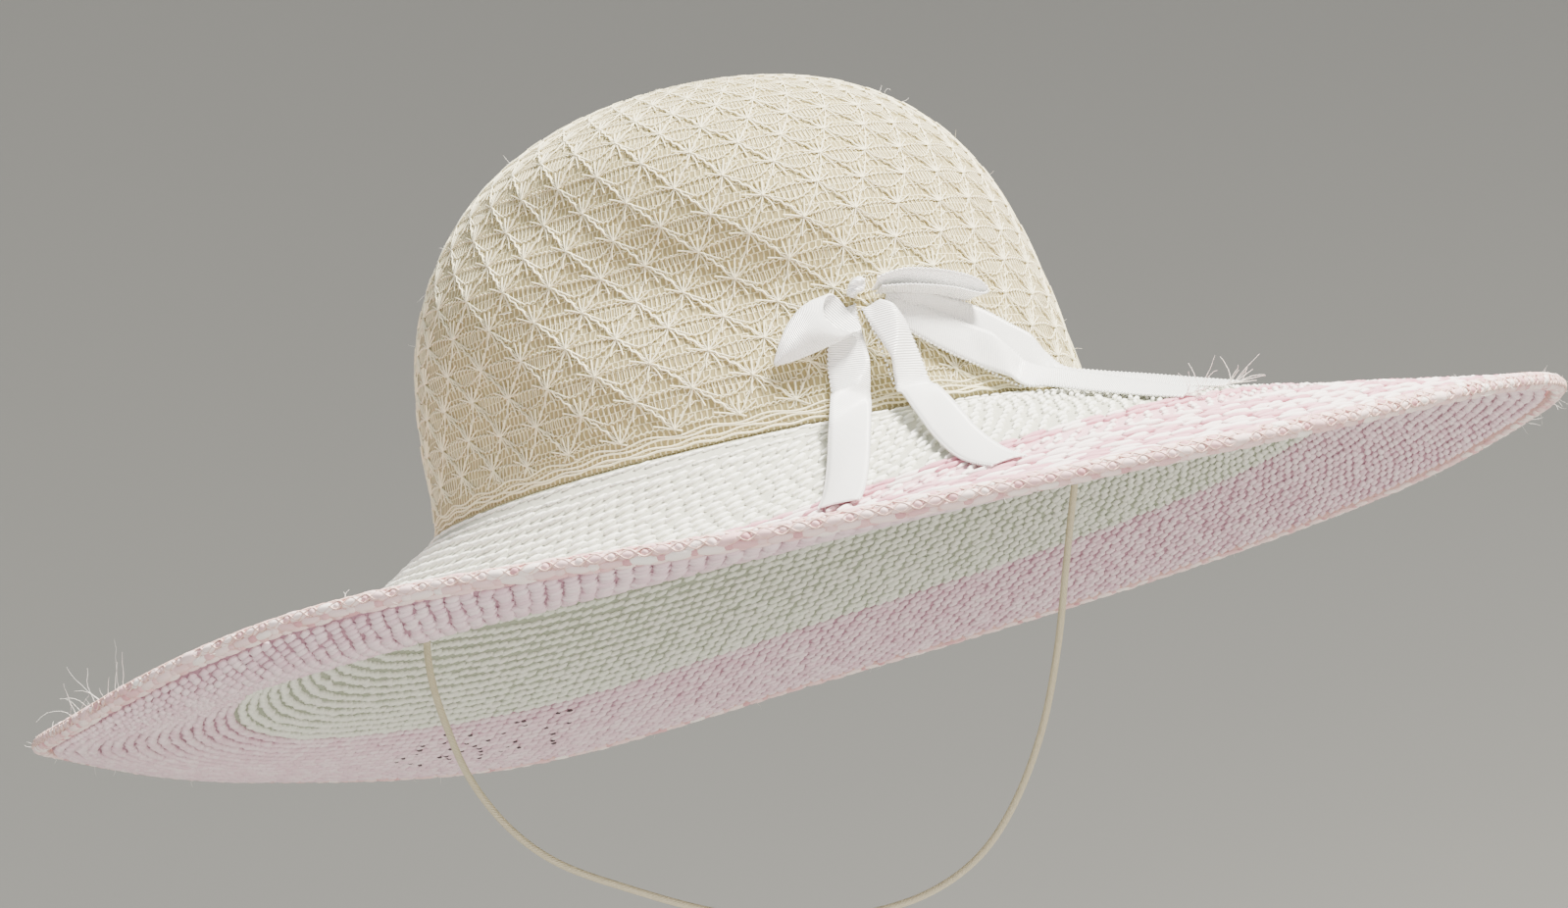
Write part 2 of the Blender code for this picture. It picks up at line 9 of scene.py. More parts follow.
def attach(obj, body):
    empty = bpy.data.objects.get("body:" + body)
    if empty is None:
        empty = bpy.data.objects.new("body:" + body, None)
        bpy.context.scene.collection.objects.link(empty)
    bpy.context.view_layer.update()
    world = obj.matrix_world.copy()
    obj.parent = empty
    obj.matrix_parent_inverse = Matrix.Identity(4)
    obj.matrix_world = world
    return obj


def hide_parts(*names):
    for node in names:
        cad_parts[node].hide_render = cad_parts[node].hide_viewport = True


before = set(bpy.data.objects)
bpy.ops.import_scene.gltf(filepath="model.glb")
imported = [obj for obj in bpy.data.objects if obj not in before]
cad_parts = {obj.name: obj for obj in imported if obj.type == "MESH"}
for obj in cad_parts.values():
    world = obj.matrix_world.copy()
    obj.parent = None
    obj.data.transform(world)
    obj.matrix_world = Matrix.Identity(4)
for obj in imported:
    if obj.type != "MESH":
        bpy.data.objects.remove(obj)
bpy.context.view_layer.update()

# Camera. It looks at the hat's bow side from a little below the brim and leans, so that the hat's right end
# stands higher, as it does in the photograph. The lens is a mild telephoto.
CAMERA_DISTANCE = 0.8036
CAMERA_ELEVATION = math.radians(-6.12)
CAMERA_ROLL = math.radians(12.2)
FOCAL_PX = 2913.0
IMAGE_WIDTH_PX = 1599.0

camera_data = bpy.data.cameras.new("camera")
camera_data.sensor_width = 36.0
camera_data.lens = 36.0 * FOCAL_PX / IMAGE_WIDTH_PX
camera_data.shift_x = 4.0 / IMAGE_WIDTH_PX
camera_data.shift_y = 17.2 / IMAGE_WIDTH_PX
camera = bpy.data.objects.new("camera", camera_data)
bpy.context.collection.objects.link(camera)
looks = Vector((0.0, math.cos(CAMERA_ELEVATION), -math.sin(CAMERA_ELEVATION)))
level_right = Vector((1.0, 0.0, 0.0))
level_up = level_right.cross(looks)
leaned_right = level_right * math.cos(CAMERA_ROLL) - level_up * math.sin(CAMERA_ROLL)
leaned_up = level_right * math.sin(CAMERA_ROLL) + level_up * math.cos(CAMERA_ROLL)
camera.matrix_world = Matrix.Translation(Vector((0.004, 0.0, 0.0)) - looks * CAMERA_DISTANCE) @ Matrix(
    (leaned_right, leaned_up, -looks)
).transposed().to_4x4()
bpy.context.scene.camera = camera

# Chin elastic: a thin round elastic covered with beige yarn. Both ends are knotted inside the crown's foot,
# and the loop hangs under the chin.
ELASTIC_DIAMETER = 0.0020
ELASTIC_ROUTE = np.array((
    (-0.0896, -0.0015, -0.0052), (-0.0925, -0.0030, -0.0100), (-0.0975, -0.0048, -0.0162),
    (-0.1015, -0.0062, -0.0238), (-0.1026, -0.0080, -0.0364), (-0.1009, -0.0100, -0.0506),
    (-0.0970, -0.0120, -0.0666), (-0.0889, -0.0140, -0.0819), (-0.0774, -0.0160, -0.0940),
    (-0.0603, -0.0170, -0.1045), (-0.0400, -0.0155, -0.1150), (-0.0200, -0.0120, -0.1222),
    (0.0000, -0.0070, -0.1250), (0.0190, -0.0020, -0.1236), (0.0350, 0.0020, -0.1170),
    (0.0480, 0.0048, -0.1050), (0.0600, 0.0062, -0.0870), (0.0695, 0.0064, -0.0655),
    (0.0770, 0.0056, -0.0430), (0.0833, 0.0042, -0.0240), (0.0878, 0.0028, -0.0115),
    (0.0896, 0.0015, -0.0052),
))


def linear_colour(hex_colour):
    """An sRGB hex colour as linear light, with full alpha."""
    out = []
    for i in (0, 2, 4):
        value = int(hex_colour[i:i + 2], 16) / 255
        out.append(value / 12.92 if value <= 0.04045 else ((value + 0.055) / 1.055) ** 2.4)
    return (*out, 1.0)


def add_node(tree, kind, values=None, links=None, **settings):
    """Adds one node with its settings, its input values and the links into it."""
    node = tree.nodes.new(kind)
    for key, value in settings.items():
        setattr(node, key, value)
    for key, value in (values or {}).items():
        node.inputs[key].default_value = value
    for key, source in (links or {}).items():
        tree.links.new(source, node.inputs[key])
    return node


def new_material(name, roughness):
    """A material with its Principled shader, ready for a pattern."""
    made = bpy.data.materials.new(name)
    made.use_nodes = True
    shader = made.node_tree.nodes["Principled BSDF"]
    shader.inputs["Roughness"].default_value = roughness
    return made, made.node_tree, shader


def smooth_path(points, steps):
    """Points of a smooth curve through rows of numbers, open at both ends."""
    points = np.asarray(points, float)
    padded = np.concatenate([points[:1], points, points[-1:]])
    out = []
    for i in range(len(points) - 1):
        a, b, c, d = padded[i:i + 4]
        for k in range(steps):
            t = k / steps
            out.append(0.5 * (2 * b + (c - a) * t + (2 * a - 5 * b + 4 * c - d) * t * t
                              + (3 * b - a - 3 * c + d) * t ** 3))
    out.append(points[-1])
    return np.array(out)


def even_path(points, count):
    """The same path with evenly spaced points."""
    gone = np.concatenate([[0.0], np.cumsum(np.linalg.norm(np.diff(points, axis=0), axis=1))])
    at = np.linspace(0.0, gone[-1], count)
    return np.stack([np.interp(at, gone, points[:, k]) for k in range(3)], 1)


def path_length(points):
    """Length of a path."""
    return float(np.linalg.norm(np.diff(points, axis=0), axis=1).sum())


def link_mesh(name, vertices, faces, finish, uvs=None, smooth=True):
    """Puts vertices and faces into the scene as one object with its material and UV map."""
    mesh = bpy.data.meshes.new(name)
    mesh.from_pydata([tuple(v) for v in vertices], [], [tuple(f) for f in faces])
    if uvs is not None:
        layer = mesh.uv_layers.new(name="UVMap")
        layer.data.foreach_set("uv", np.asarray(uvs, np.float32).ravel())
    mesh.polygons.foreach_set("use_smooth", [smooth] * len(mesh.polygons))
    mesh.materials.append(finish)
    made = bpy.data.objects.new(name, mesh)
    bpy.context.collection.objects.link(made)
    return made


# Yarn-covered elastic: a fine diagonal wrap of beige thread over rubber, matt, with a faint gloss.
elastic_finish, tree, shader = new_material("yarn covered elastic, beige", 0.62)
shader.inputs["Base Color"].default_value = linear_colour("D3C8AC")
place = add_node(tree, "ShaderNodeTexCoord")
wrap = add_node(tree, "ShaderNodeTexWave", {"Scale": 1.0, "Distortion": 0.4}, {"Vector": place.outputs["UV"]},
                wave_type="BANDS", bands_direction="DIAGONAL")
bump = add_node(tree, "ShaderNodeBump", {"Strength": 0.5, "Distance": 0.00025},
                {"Height": wrap.outputs["Fac"]})
tree.links.new(bump.outputs["Normal"], shader.inputs["Normal"])

elastic_line = even_path(smooth_path(ELASTIC_ROUTE, 12), 260)


def round_tube(name, line, radius, sides, finish, u_turns, v_repeats):
    """A round tube with closed ends along a line, with u round it and v along it."""
    tangents = np.gradient(line, axis=0)
    tangents /= np.linalg.norm(tangents, axis=1)[:, None]
    side = np.cross(tangents[0], (0.0, 0.0, 1.0))
    side /= np.linalg.norm(side)
    vertices, faces, uvs = [], [], []
    for i, (point, tangent) in enumerate(zip(line, tangents)):
        side = side - tangent * (side @ tangent)
        side /= np.linalg.norm(side)
        rise = np.cross(tangent, side)
        for k in range(sides):
            angle = 2 * math.pi * k / sides
            vertices.append(point + radius * (side * math.cos(angle) + rise * math.sin(angle)))
    count = len(line)
    for i in range(count - 1):
        for k in range(sides):
            j = (k + 1) % sides
            faces.append((i * sides + k, i * sides + j, (i + 1) * sides + j, (i + 1) * sides + k))
            for a, b in ((i, k), (i, k + 1), (i + 1, k + 1), (i + 1, k)):
                uvs.append((u_turns * b / sides, v_repeats * a / (count - 1)))
    faces.append(tuple(range(sides))[::-1])
    faces.append(tuple((count - 1) * sides + k for k in range(sides)))
    uvs += [(0.0, 0.0)] * (2 * sides)
    return link_mesh(name, vertices, faces, finish, uvs)


chin_elastic = round_tube("elastic_cord", elastic_line, ELASTIC_DIAMETER / 2, 10, elastic_finish, 3.77, 220.0)
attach(chin_elastic, "root")
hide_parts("chin_elastic")

# Each end of the elastic is tied in a small tight knot, which keeps it at the foot of the crown.
KNOT_REACH = 0.0900
KNOT_DROP = 0.0022
for side, end in ((-1.0, "left"), (1.0, "right")):
    turn = np.arange(73) * 2 * math.pi / 72
    knot_line = np.stack([
        side * KNOT_REACH + 0.00050 * (np.sin(turn) + 2 * np.sin(2 * turn)),
        0.00050 * (np.cos(turn) - 2 * np.cos(2 * turn)),
        -KNOT_DROP - 0.00075 * np.sin(3 * turn),
    ], 1)
    elastic_knot = round_tube("cord_knot_" + end, knot_line, 0.0007, 8, elastic_finish, 3.0, 24.0)
    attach(elastic_knot, "root")
    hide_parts("elastic_knot_" + end)

# Crown: machine-knit lace of ivory cotton, formed over a block. A dense ground of fine upright stitches
# carries rows of many-spoked stars, with a thick zigzag thread running down from star to star. It has a soft
# dent beside the bow.
CROWN_HALF_WIDTH = 0.0920
CROWN_HALF_DEPTH = 0.0955
CROWN_HEIGHT = 0.1085
CROWN_WALL = 0.0015
CROWN_FOOT_FLARE = 0.0020
CROWN_FLARE_RISE = 0.0060
CROWN_LEAN = -0.0020
CROWN_SIDE_POWER = 2.7
CROWN_TOP_POWER = 2.5
DENT_DEPTH = 0.0085
DENT_FADE = 1.6
CROWN_DENTS = (
    # azimuth_deg, height_share, spread_deg, spread_share, depth_share
    (-104.0, 0.44, 23.0, 0.17, 1.00),
    (-84.0, 0.30, 17.0, 0.13, 0.45),
    (-122.0, 0.64, 17.0, 0.10, 0.40),
    (-118.0, 0.80, 30.0, 0.10, -0.25),
    (-74.0, 0.52, 16.0, 0.14, -0.30),
    (-138.0, 0.20, 18.0, 0.16, 0.35),
    (-150.0, 0.50, 16.0, 0.16, -0.15),
    (60.0, 0.55, 34.0, 0.22, 0.30),
    (140.0, 0.35, 26.0, 0.20, 0.25),
    (10.0, 0.40, 22.0, 0.20, 0.12),
)


def crown_surface(azimuth, share):
    """Points of the crown's outside, for arrays of azimuths and shares of its height."""
    azimuth, share = np.broadcast_arrays(np.asarray(azimuth, float), np.clip(share, 0.0, 1.0))
    spread = (1.0 - share ** CROWN_SIDE_POWER) ** (1.0 / CROWN_TOP_POWER)
    flare = CROWN_FOOT_FLARE * np.exp(-share * CROWN_HEIGHT / CROWN_FLARE_RISE)
    dent = np.zeros(share.shape)
    for azimuth_deg, at_share, spread_deg, spread_share, depth_share in CROWN_DENTS:
        turned = (np.degrees(azimuth) - azimuth_deg + 180.0) % 360.0 - 180.0
        dent += depth_share * np.exp(-((turned / spread_deg) ** 2) - ((share - at_share) / spread_share) ** 2)
    offset = flare - DENT_DEPTH * dent * np.minimum(1.0, DENT_FADE * spread)
    return np.stack([
        (CROWN_HALF_WIDTH * spread + offset) * np.cos(azimuth) + CROWN_LEAN * np.sin(math.pi * share),
        (CROWN_HALF_DEPTH * spread + offset) * np.sin(azimuth),
        CROWN_HEIGHT * share,
    ], -1)


def surface_normals(surface, azimuth, share, sign):
    """Unit normals of a surface, out of the hat."""
    share = np.clip(share, 0.0, 0.9985)
    around = surface(azimuth + 0.002, share) - surface(azimuth - 0.002, share)
    along = surface(azimuth, share + 0.0015) - surface(azimuth, np.maximum(share - 0.0015, 0.0))
    normals = np.cross(around, along) * sign
    return normals / np.linalg.norm(normals, axis=-1)[..., None]


# The lace's rows lie at even depths below the crown's top, measured over the cloth, so a table turns a depth
# into a share of the height for each azimuth.
TABLE_AZIMUTHS = 180
TABLE_DEPTHS = np.arange(0.0, 0.190, 0.0005)
table_azimuths = np.arange(TABLE_AZIMUTHS) * 2 * math.pi / TABLE_AZIMUTHS
table_shares = np.sin(np.linspace(math.pi / 2, 0.0, 300)) ** (2.0 / CROWN_SIDE_POWER)
meridians = crown_surface(table_azimuths[:, None], table_shares[None, :])
walked = np.cumsum(np.linalg.norm(np.diff(meridians, axis=1), axis=-1), axis=1)
walked = np.concatenate([np.zeros((TABLE_AZIMUTHS, 1)), walked], 1)
share_table = np.stack([np.interp(TABLE_DEPTHS, row, table_shares, right=-0.05) for row in walked])


def share_at_depth(azimuth, depth):
    """The share of the crown's height at a depth below its top, below 0 where the cloth has ended."""
    column = (np.asarray(azimuth) / (2 * math.pi) * TABLE_AZIMUTHS) % TABLE_AZIMUTHS
    row = np.clip(depth / (TABLE_DEPTHS[1] - TABLE_DEPTHS[0]), 0, len(TABLE_DEPTHS) - 1.001)
    c0, r0 = np.floor(column).astype(int) % TABLE_AZIMUTHS, np.floor(row).astype(int)
    c1, r1 = (c0 + 1) % TABLE_AZIMUTHS, r0 + 1
    cf, rf = column - np.floor(column), row - r0
    upper = share_table[c0, r0] * (1 - cf) + share_table[c1, r0] * cf
    lower = share_table[c0, r1] * (1 - cf) + share_table[c1, r1] * cf
    return upper * (1 - rf) + lower * rf


def crown_place(azimuth, share, lift):
    """Points over the crown's cloth, lifted out from it."""
    outward = surface_normals(crown_surface, azimuth, share, 1.0)
    return crown_surface(azimuth, share) + outward * np.asarray(lift)[..., None]


STAR_COLUMNS = 38
COLUMN_DEG = 360.0 / STAR_COLUMNS
ROW_SHIFT_DEG = -3.767
FIRST_STAR_DEG = -80.8
FIRST_ROW_DEPTH = 0.0889
ROW_DEPTH = 0.00924
ROW_SWAY = 0.0043
STAR_ROWS = np.arange(-8, 9)
LACE_FOOT_SHARE = 0.040

# Ground knit: matt ivory cotton, fine upright stitches about 1.6 mm apart with darker slits between them,
# drawn as a bump and a colour because single stitches are too fine for the render. The slits' darker colour
# is painted shade.
ground_finish, tree, shader = new_material("ivory cotton ground knit with painted slit shade", 0.90)
place = add_node(tree, "ShaderNodeTexCoord")
waver = add_node(tree, "ShaderNodeTexNoise", {"Scale": 1.7, "Detail": 2.0}, {"Vector": place.outputs["UV"]})
waver_small = add_node(tree, "ShaderNodeVectorMath", {1: (0.5, 0.5, 0.5)}, {0: waver.outputs["Color"]},
                       operation="SUBTRACT")
waver_scaled = add_node(tree, "ShaderNodeVectorMath", {"Scale": 0.16}, {0: waver_small.outputs[0]},
                        operation="SCALE")
shifted = add_node(tree, "ShaderNodeVectorMath", None, {0: place.outputs["UV"], 1: waver_scaled.outputs[0]},
                   operation="ADD")
slits = add_node(tree, "ShaderNodeTexBrick", {
    "Scale": 1.0, "Mortar Size": 0.022, "Mortar Smooth": 0.6, "Brick Width": 0.105, "Row Height": 0.27,
}, {"Vector": shifted.outputs[0]}, offset=0.5)
cloudy = add_node(tree, "ShaderNodeTexNoise", {"Scale": 60.0, "Detail": 3.0},
                  {"Vector": place.outputs["Object"]})
thread_colour = add_node(tree, "ShaderNodeMix", {6: linear_colour("DACF9E"), 7: linear_colour("E5DBB0")},
                         {0: cloudy.outputs["Fac"]}, data_type="RGBA")
# The slit colour is painted shade, for the dark inside of the crown seen through the gaps between the
# stitches.
ground_colour_with_slit_shade = add_node(tree, "ShaderNodeMix", {6: linear_colour("978A5E")},
                         {0: slits.outputs["Fac"], 7: thread_colour.outputs[2]}, data_type="RGBA")
tree.links.new(ground_colour_with_slit_shade.outputs[2], shader.inputs["Base Color"])
bump = add_node(tree, "ShaderNodeBump", {"Strength": 0.8, "Distance": 0.0005},
                {"Height": slits.outputs["Fac"]})
tree.links.new(bump.outputs["Normal"], shader.inputs["Normal"])
shader.inputs["Sheen Weight"].default_value = 0.15
shader.inputs["Sheen Roughness"].default_value = 0.5


def closed_wall(name, outer, inner, outer_uv, inner_uv, finishes, outer_slots=None, inner_slots=None,
                apex=False):
    """A closed wall between two grids of rings, joined at the first and last, or closed by two apexes."""
    rows, count = outer.shape[:2]
    vertices = np.concatenate([outer.reshape(-1, 3), inner.reshape(-1, 3)])
    shift = rows * count
    faces, uvs, slots = [], [], []
    for r in range(rows - 1):
        for c in range(count):
            d = (c + 1) % count
            faces.append((r * count + c, (r + 1) * count + c, (r + 1) * count + d, r * count + d))
            uvs += [outer_uv[r][c], outer_uv[r + 1][c], outer_uv[r + 1][c + 1], outer_uv[r][c + 1]]
            slots.append(0 if outer_slots is None else outer_slots[r])
            quad = (r * count + c, r * count + d, (r + 1) * count + d, (r + 1) * count + c)
            faces.append(tuple(shift + v for v in quad))
            uvs += [inner_uv[r][c], inner_uv[r][c + 1], inner_uv[r + 1][c + 1], inner_uv[r + 1][c]]
            slots.append(0 if inner_slots is None else inner_slots[r])
    for c in range(count):
        d = (c + 1) % count
        last = (rows - 1) * count
        faces.append((last + c, shift + last + c, shift + last + d, last + d))
        uvs += [outer_uv[-1][c], outer_uv[-1][c], outer_uv[-1][c + 1], outer_uv[-1][c + 1]]
        slots.append(slots[-2])
        if not apex:
            faces.append((c, d, shift + d, shift + c))
            uvs += [outer_uv[0][c], outer_uv[0][c + 1], outer_uv[0][c + 1], outer_uv[0][c]]
            slots.append(0)
    if apex:
        tops = len(vertices)
        vertices = np.concatenate([vertices, outer[0].mean(0)[None], inner[0].mean(0)[None]])
        for c in range(count):
            d = (c + 1) % count
            faces.append((tops, c, d))
            faces.append((tops + 1, shift + d, shift + c))
            uvs += [outer_uv[0][c], outer_uv[0][c], outer_uv[0][c + 1]] + [inner_uv[0][c]] * 3
            slots += [0, 0]
    made = link_mesh(name, vertices, faces, finishes[0], uvs)
    for finish in finishes[1:]:
        made.data.materials.append(finish)
    made.data.polygons.foreach_set("material_index", slots)
    return made


SHELL_COLUMNS = 152
SHELL_ROWS = 64
shell_azimuths = -math.pi + np.arange(SHELL_COLUMNS + 1) * 2 * math.pi / SHELL_COLUMNS
climbs = np.linspace(math.pi / 2, 0.0, SHELL_ROWS + 1)[1:]
shell_shares = np.sin(climbs) ** (2.0 / CROWN_SIDE_POWER)
grid_azimuth, grid_share = np.meshgrid(shell_azimuths, shell_shares)
outer = crown_place(grid_azimuth, grid_share, np.zeros(grid_share.shape))
inner = crown_place(grid_azimuth, grid_share, np.full(grid_share.shape, -CROWN_WALL))
inner[-1, :, 2] = 0.0
shell_steps = np.linalg.norm(np.diff(outer[:, 0], axis=0), axis=1)
shell_depths = np.concatenate([[0.0], np.cumsum(shell_steps)]) + 0.004
shell_uv = np.stack([grid_azimuth / math.radians(COLUMN_DEG),
                     np.repeat(shell_depths[:, None], SHELL_COLUMNS + 1, 1) / ROW_DEPTH], -1)
crown_ground = closed_wall("crown_ground_knit", outer[:, :-1], inner[:, :-1], shell_uv, shell_uv,
                           [ground_finish], apex=True)
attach(crown_ground, "root")
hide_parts("crown")

# Lace threads: ivory cotton yarn on the crown's ground. The motif is drawn once between a star and its
# neighbours, and then repeated over all the rows and columns.
lace_finish, tree, shader = new_material("ivory cotton lace yarn", 0.82)
shader.inputs["Base Color"].default_value = linear_colour("F3EBC8")
shader.inputs["Sheen Weight"].default_value = 0.2
shader.inputs["Sheen Roughness"].default_value = 0.4
TRELLIS_STROKES = (
    # start_x, start_y, end_x, end_y, bow_x, bow_y, ripple_x, ripple_y, points, radius_mm, lift_mm
    (0.0, 0.0, 0.602, 1.0, 0.00, 0.00, 0.035, -0.035, 9, 0.29, 0.42),
    (0.0, 0.0, -0.398, 1.0, 0.03, 0.00, 0.018, 0.00, 8, 0.20, 0.26),
)
SCALLOP_STROKES = (
    (0.0, 0.0, 1.0, 0.0, 0.0, -0.08, 0.0, -0.055, 19, 0.20, 0.28),
    (0.05, 0.04, 0.96, 0.03, 0.0, 0.33, 0.0, 0.055, 17, 0.20, 0.28),
    (-0.20, 0.50, 0.602, 1.0, 0.05, -0.34, 0.0, -0.05, 15, 0.17, 0.22),
)
TUFT_STROKES = (
    (0.0, 0.0, -0.36, -0.22, -0.03, -0.03, 0.0, 0.0, 3, 0.22, 0.40),
    (0.0, 0.0, -0.21, -0.42, -0.03, 0.0, 0.0, 0.0, 3, 0.25, 0.46),
    (0.0, 0.0, -0.07, -0.52, -0.01, 0.0, 0.0, 0.0, 3, 0.27, 0.50),
    (0.0, 0.0, 0.06, -0.53, 0.0, 0.0, 0.0, 0.0, 3, 0.27, 0.52),
    (0.0, 0.0, 0.19, -0.45, 0.02, 0.0, 0.0, 0.0, 3, 0.25, 0.48),
    (0.0, 0.0, 0.33, -0.28, 0.03, -0.02, 0.0, 0.0, 3, 0.22, 0.42),
    (0.0, 0.0, -0.10, 0.50, -0.02, 0.0, 0.0, 0.0, 3, 0.23, 0.36),
    (0.0, 0.0, 0.14, 0.54, 0.02, 0.0, 0.0, 0.0, 3, 0.24, 0.36),
    (0.0, 0.0, 0.36, 0.34, 0.03, 0.02, 0.0, 0.0, 3, 0.21, 0.32),
    (-0.27, 0.62, -0.38, 0.94, 0.05, 0.0, 0.0, 0.0, 3, 0.18, 0.28),
    (0.22, -0.10, 0.22, 0.20, 0.0, 0.0, 0.0, 0.0, 2, 0.13, 0.18),
    (0.32, -0.10, 0.33, 0.28, 0.0, 0.0, 0.0, 0.0, 2, 0.13, 0.18),
    (0.42, -0.10, 0.43, 0.33, 0.0, 0.0, 0.0, 0.0, 2, 0.13, 0.18),
    (0.52, -0.10, 0.53, 0.35, 0.0, 0.0, 0.0, 0.0, 2, 0.13, 0.18),
    (0.62, -0.10, 0.63, 0.32, 0.0, 0.0, 0.0, 0.0, 2, 0.13, 0.18),
    (0.72, -0.09, 0.73, 0.27, 0.0, 0.0, 0.0, 0.0, 2, 0.13, 0.18),
)
random = np.random.default_rng(11)
star_jitter = random.normal(0.0, 0.030, (len(STAR_ROWS) + 3, STAR_COLUMNS, 2))


def lace_paths(strokes):
    """Guide paths of a group of strokes, repeated at every star: points, edges and thicknesses."""
    points, edges, thickness = [], [], []
    total = 0
    columns, rows = np.meshgrid(np.arange(STAR_COLUMNS), STAR_ROWS)
    columns, rows = columns.ravel().astype(float), rows.ravel().astype(float)
    for x0, y0, x1, y1, bow_x, bow_y, ripple_x, ripple_y, count, radius_mm, lift_mm in strokes:
        t = np.linspace(0.0, 1.0, count)
        swing = np.sin(math.pi * t)
        odd = (np.arange(count) % 2).astype(float)
        x = x0 + (x1 - x0) * t + bow_x * swing + ripple_x * odd
        y = y0 + (y1 - y0) * t + bow_y * swing + ripple_y * odd
        lattice_u = columns[:, None] + x - ROW_SHIFT_DEG / COLUMN_DEG * y
        lattice_v = rows[:, None] + y
        u0, v0 = np.floor(lattice_u).astype(int), np.floor(lattice_v).astype(int)
        fu, fv = (lattice_u - u0)[..., None], (lattice_v - v0)[..., None]
        v_index = v0 - STAR_ROWS[0] + 1
        corner = [star_jitter[v_index + b, (u0 + a) % STAR_COLUMNS] for b in (0, 1) for a in (0, 1)]
        upper = corner[0] * (1 - fu) + corner[1] * fu
        lower = corner[2] * (1 - fu) + corner[3] * fu
        jitter = upper * (1 - fv) + lower * fv
        azimuth = FIRST_STAR_DEG + COLUMN_DEG * (columns[:, None] + x + jitter[..., 0])
        azimuth = azimuth + ROW_SHIFT_DEG * rows[:, None]
        sway = ROW_SWAY * (1.0 - np.cos(2.0 * np.radians(azimuth + 95.0)))
        depth = FIRST_ROW_DEPTH + ROW_DEPTH * (rows[:, None] + y + jitter[..., 1]) - sway
        azimuth = np.radians(azimuth)
        share = share_at_depth(azimuth, depth)
        placed = crown_place(azimuth, share, np.full(share.shape, lift_mm / 1000))
        shown = (share > LACE_FOOT_SHARE) & (depth > 0.011)
        index = total + np.arange(placed.shape[0] * count).reshape(-1, count)
        joined = shown[:, :-1] & shown[:, 1:]
        edges.append(np.stack([index[:, :-1][joined], index[:, 1:][joined]], -1))
        points.append(placed.reshape(-1, 3))
        narrow = np.clip(np.linalg.norm(placed[..., :2], axis=-1) / 0.07, 0.45, 1.0)
        thickness.append((narrow * radius_mm / 1000).ravel())
        total += placed.shape[0] * count
    return np.concatenate(points), np.concatenate(edges), np.concatenate(thickness)


def yarn_tree(name, finish):
    """Geometry Nodes: turns guide edges into round yarn as thick as their 'thick' attribute says."""
    made = bpy.data.node_groups.new(name, "GeometryNodeTree")
    made.interface.new_socket("Geometry", in_out="INPUT", socket_type="NodeSocketGeometry")
    scale = made.interface.new_socket("Yarn Thickness", in_out="INPUT", socket_type="NodeSocketFloat")
    scale.default_value = 1.0
    sides = made.interface.new_socket("Yarn Sides", in_out="INPUT", socket_type="NodeSocketInt")
    sides.default_value = 3
    made.interface.new_socket("Geometry", in_out="OUTPUT", socket_type="NodeSocketGeometry")
    start = add_node(made, "NodeGroupInput")
    line = add_node(made, "GeometryNodeMeshToCurve", None, {"Mesh": start.outputs["Geometry"]})
    thick = add_node(made, "GeometryNodeInputNamedAttribute", {"Name": "thick"}, data_type="FLOAT")
    sized = add_node(made, "GeometryNodeSetCurveRadius", None,
                     {"Curve": line.outputs["Curve"], "Radius": thick.outputs["Attribute"]})
    ring = add_node(made, "GeometryNodeCurvePrimitiveCircle", None,
                    {"Resolution": start.outputs["Yarn Sides"], "Radius": start.outputs["Yarn Thickness"]})
    tube = add_node(made, "GeometryNodeCurveToMesh", {"Fill Caps": True},
                    {"Curve": sized.outputs["Curve"], "Profile Curve": ring.outputs["Curve"]})
    if "Scale" in tube.inputs:
        radius = add_node(made, "GeometryNodeInputRadius")
        made.links.new(radius.outputs["Radius"], tube.inputs["Scale"])
    smooth = add_node(made, "GeometryNodeSetShadeSmooth", None, {"Geometry": tube.outputs["Mesh"]})
    real = add_node(made, "GeometryNodeRealizeInstances", None, {"Geometry": smooth.outputs["Geometry"]})
    dressed = add_node(made, "GeometryNodeSetMaterial", {"Material": finish},
                       {"Geometry": real.outputs["Geometry"]})
    add_node(made, "NodeGroupOutput", None, {"Geometry": dressed.outputs["Geometry"]})
    return made


def grow(name, guide, made_tree, sizes):
    """Runs a Geometry Nodes tree over a guide mesh, and keeps the result as a plain mesh on the hat."""
    holder = bpy.data.objects.new(name, guide)
    bpy.context.collection.objects.link(holder)
    modifier = holder.modifiers.new(name, "NODES")
    modifier.node_group = made_tree
    for item in made_tree.interface.items_tree:
        if item.item_type == "SOCKET" and item.in_out == "INPUT" and item.name in sizes:
            modifier[item.identifier] = sizes[item.name]
    depsgraph = bpy.context.evaluated_depsgraph_get()
    result = bpy.data.meshes.new_from_object(holder.evaluated_get(depsgraph), preserve_all_data_layers=True,
                                             depsgraph=depsgraph)
    holder.modifiers.clear()
    holder.data = result
    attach(holder, "root")
    return holder


def guide_mesh(name, points, edges, thickness):
    """A mesh of guide edges with each point's thickness."""
    mesh = bpy.data.meshes.new(name)
    mesh.vertices.add(len(points))
    mesh.vertices.foreach_set("co", np.asarray(points, np.float32).ravel())
    mesh.edges.add(len(edges))
    mesh.edges.foreach_set("vertices", np.asarray(edges, np.int32).ravel())
    thick = mesh.attributes.new("thick", "FLOAT", "POINT")
    thick.data.foreach_set("value", np.asarray(thickness, np.float32))
    return mesh


lace_yarn = yarn_tree("lace yarn", lace_finish)
for piece_name, strokes in (("lace_trellis", TRELLIS_STROKES), ("lace_scallops", SCALLOP_STROKES),
                            ("lace_tufts", TUFT_STROKES)):
    lace = grow(piece_name, guide_mesh(piece_name, *lace_paths(strokes)), lace_yarn,
                {"Yarn Thickness": 1.0, "Yarn Sides": 3})

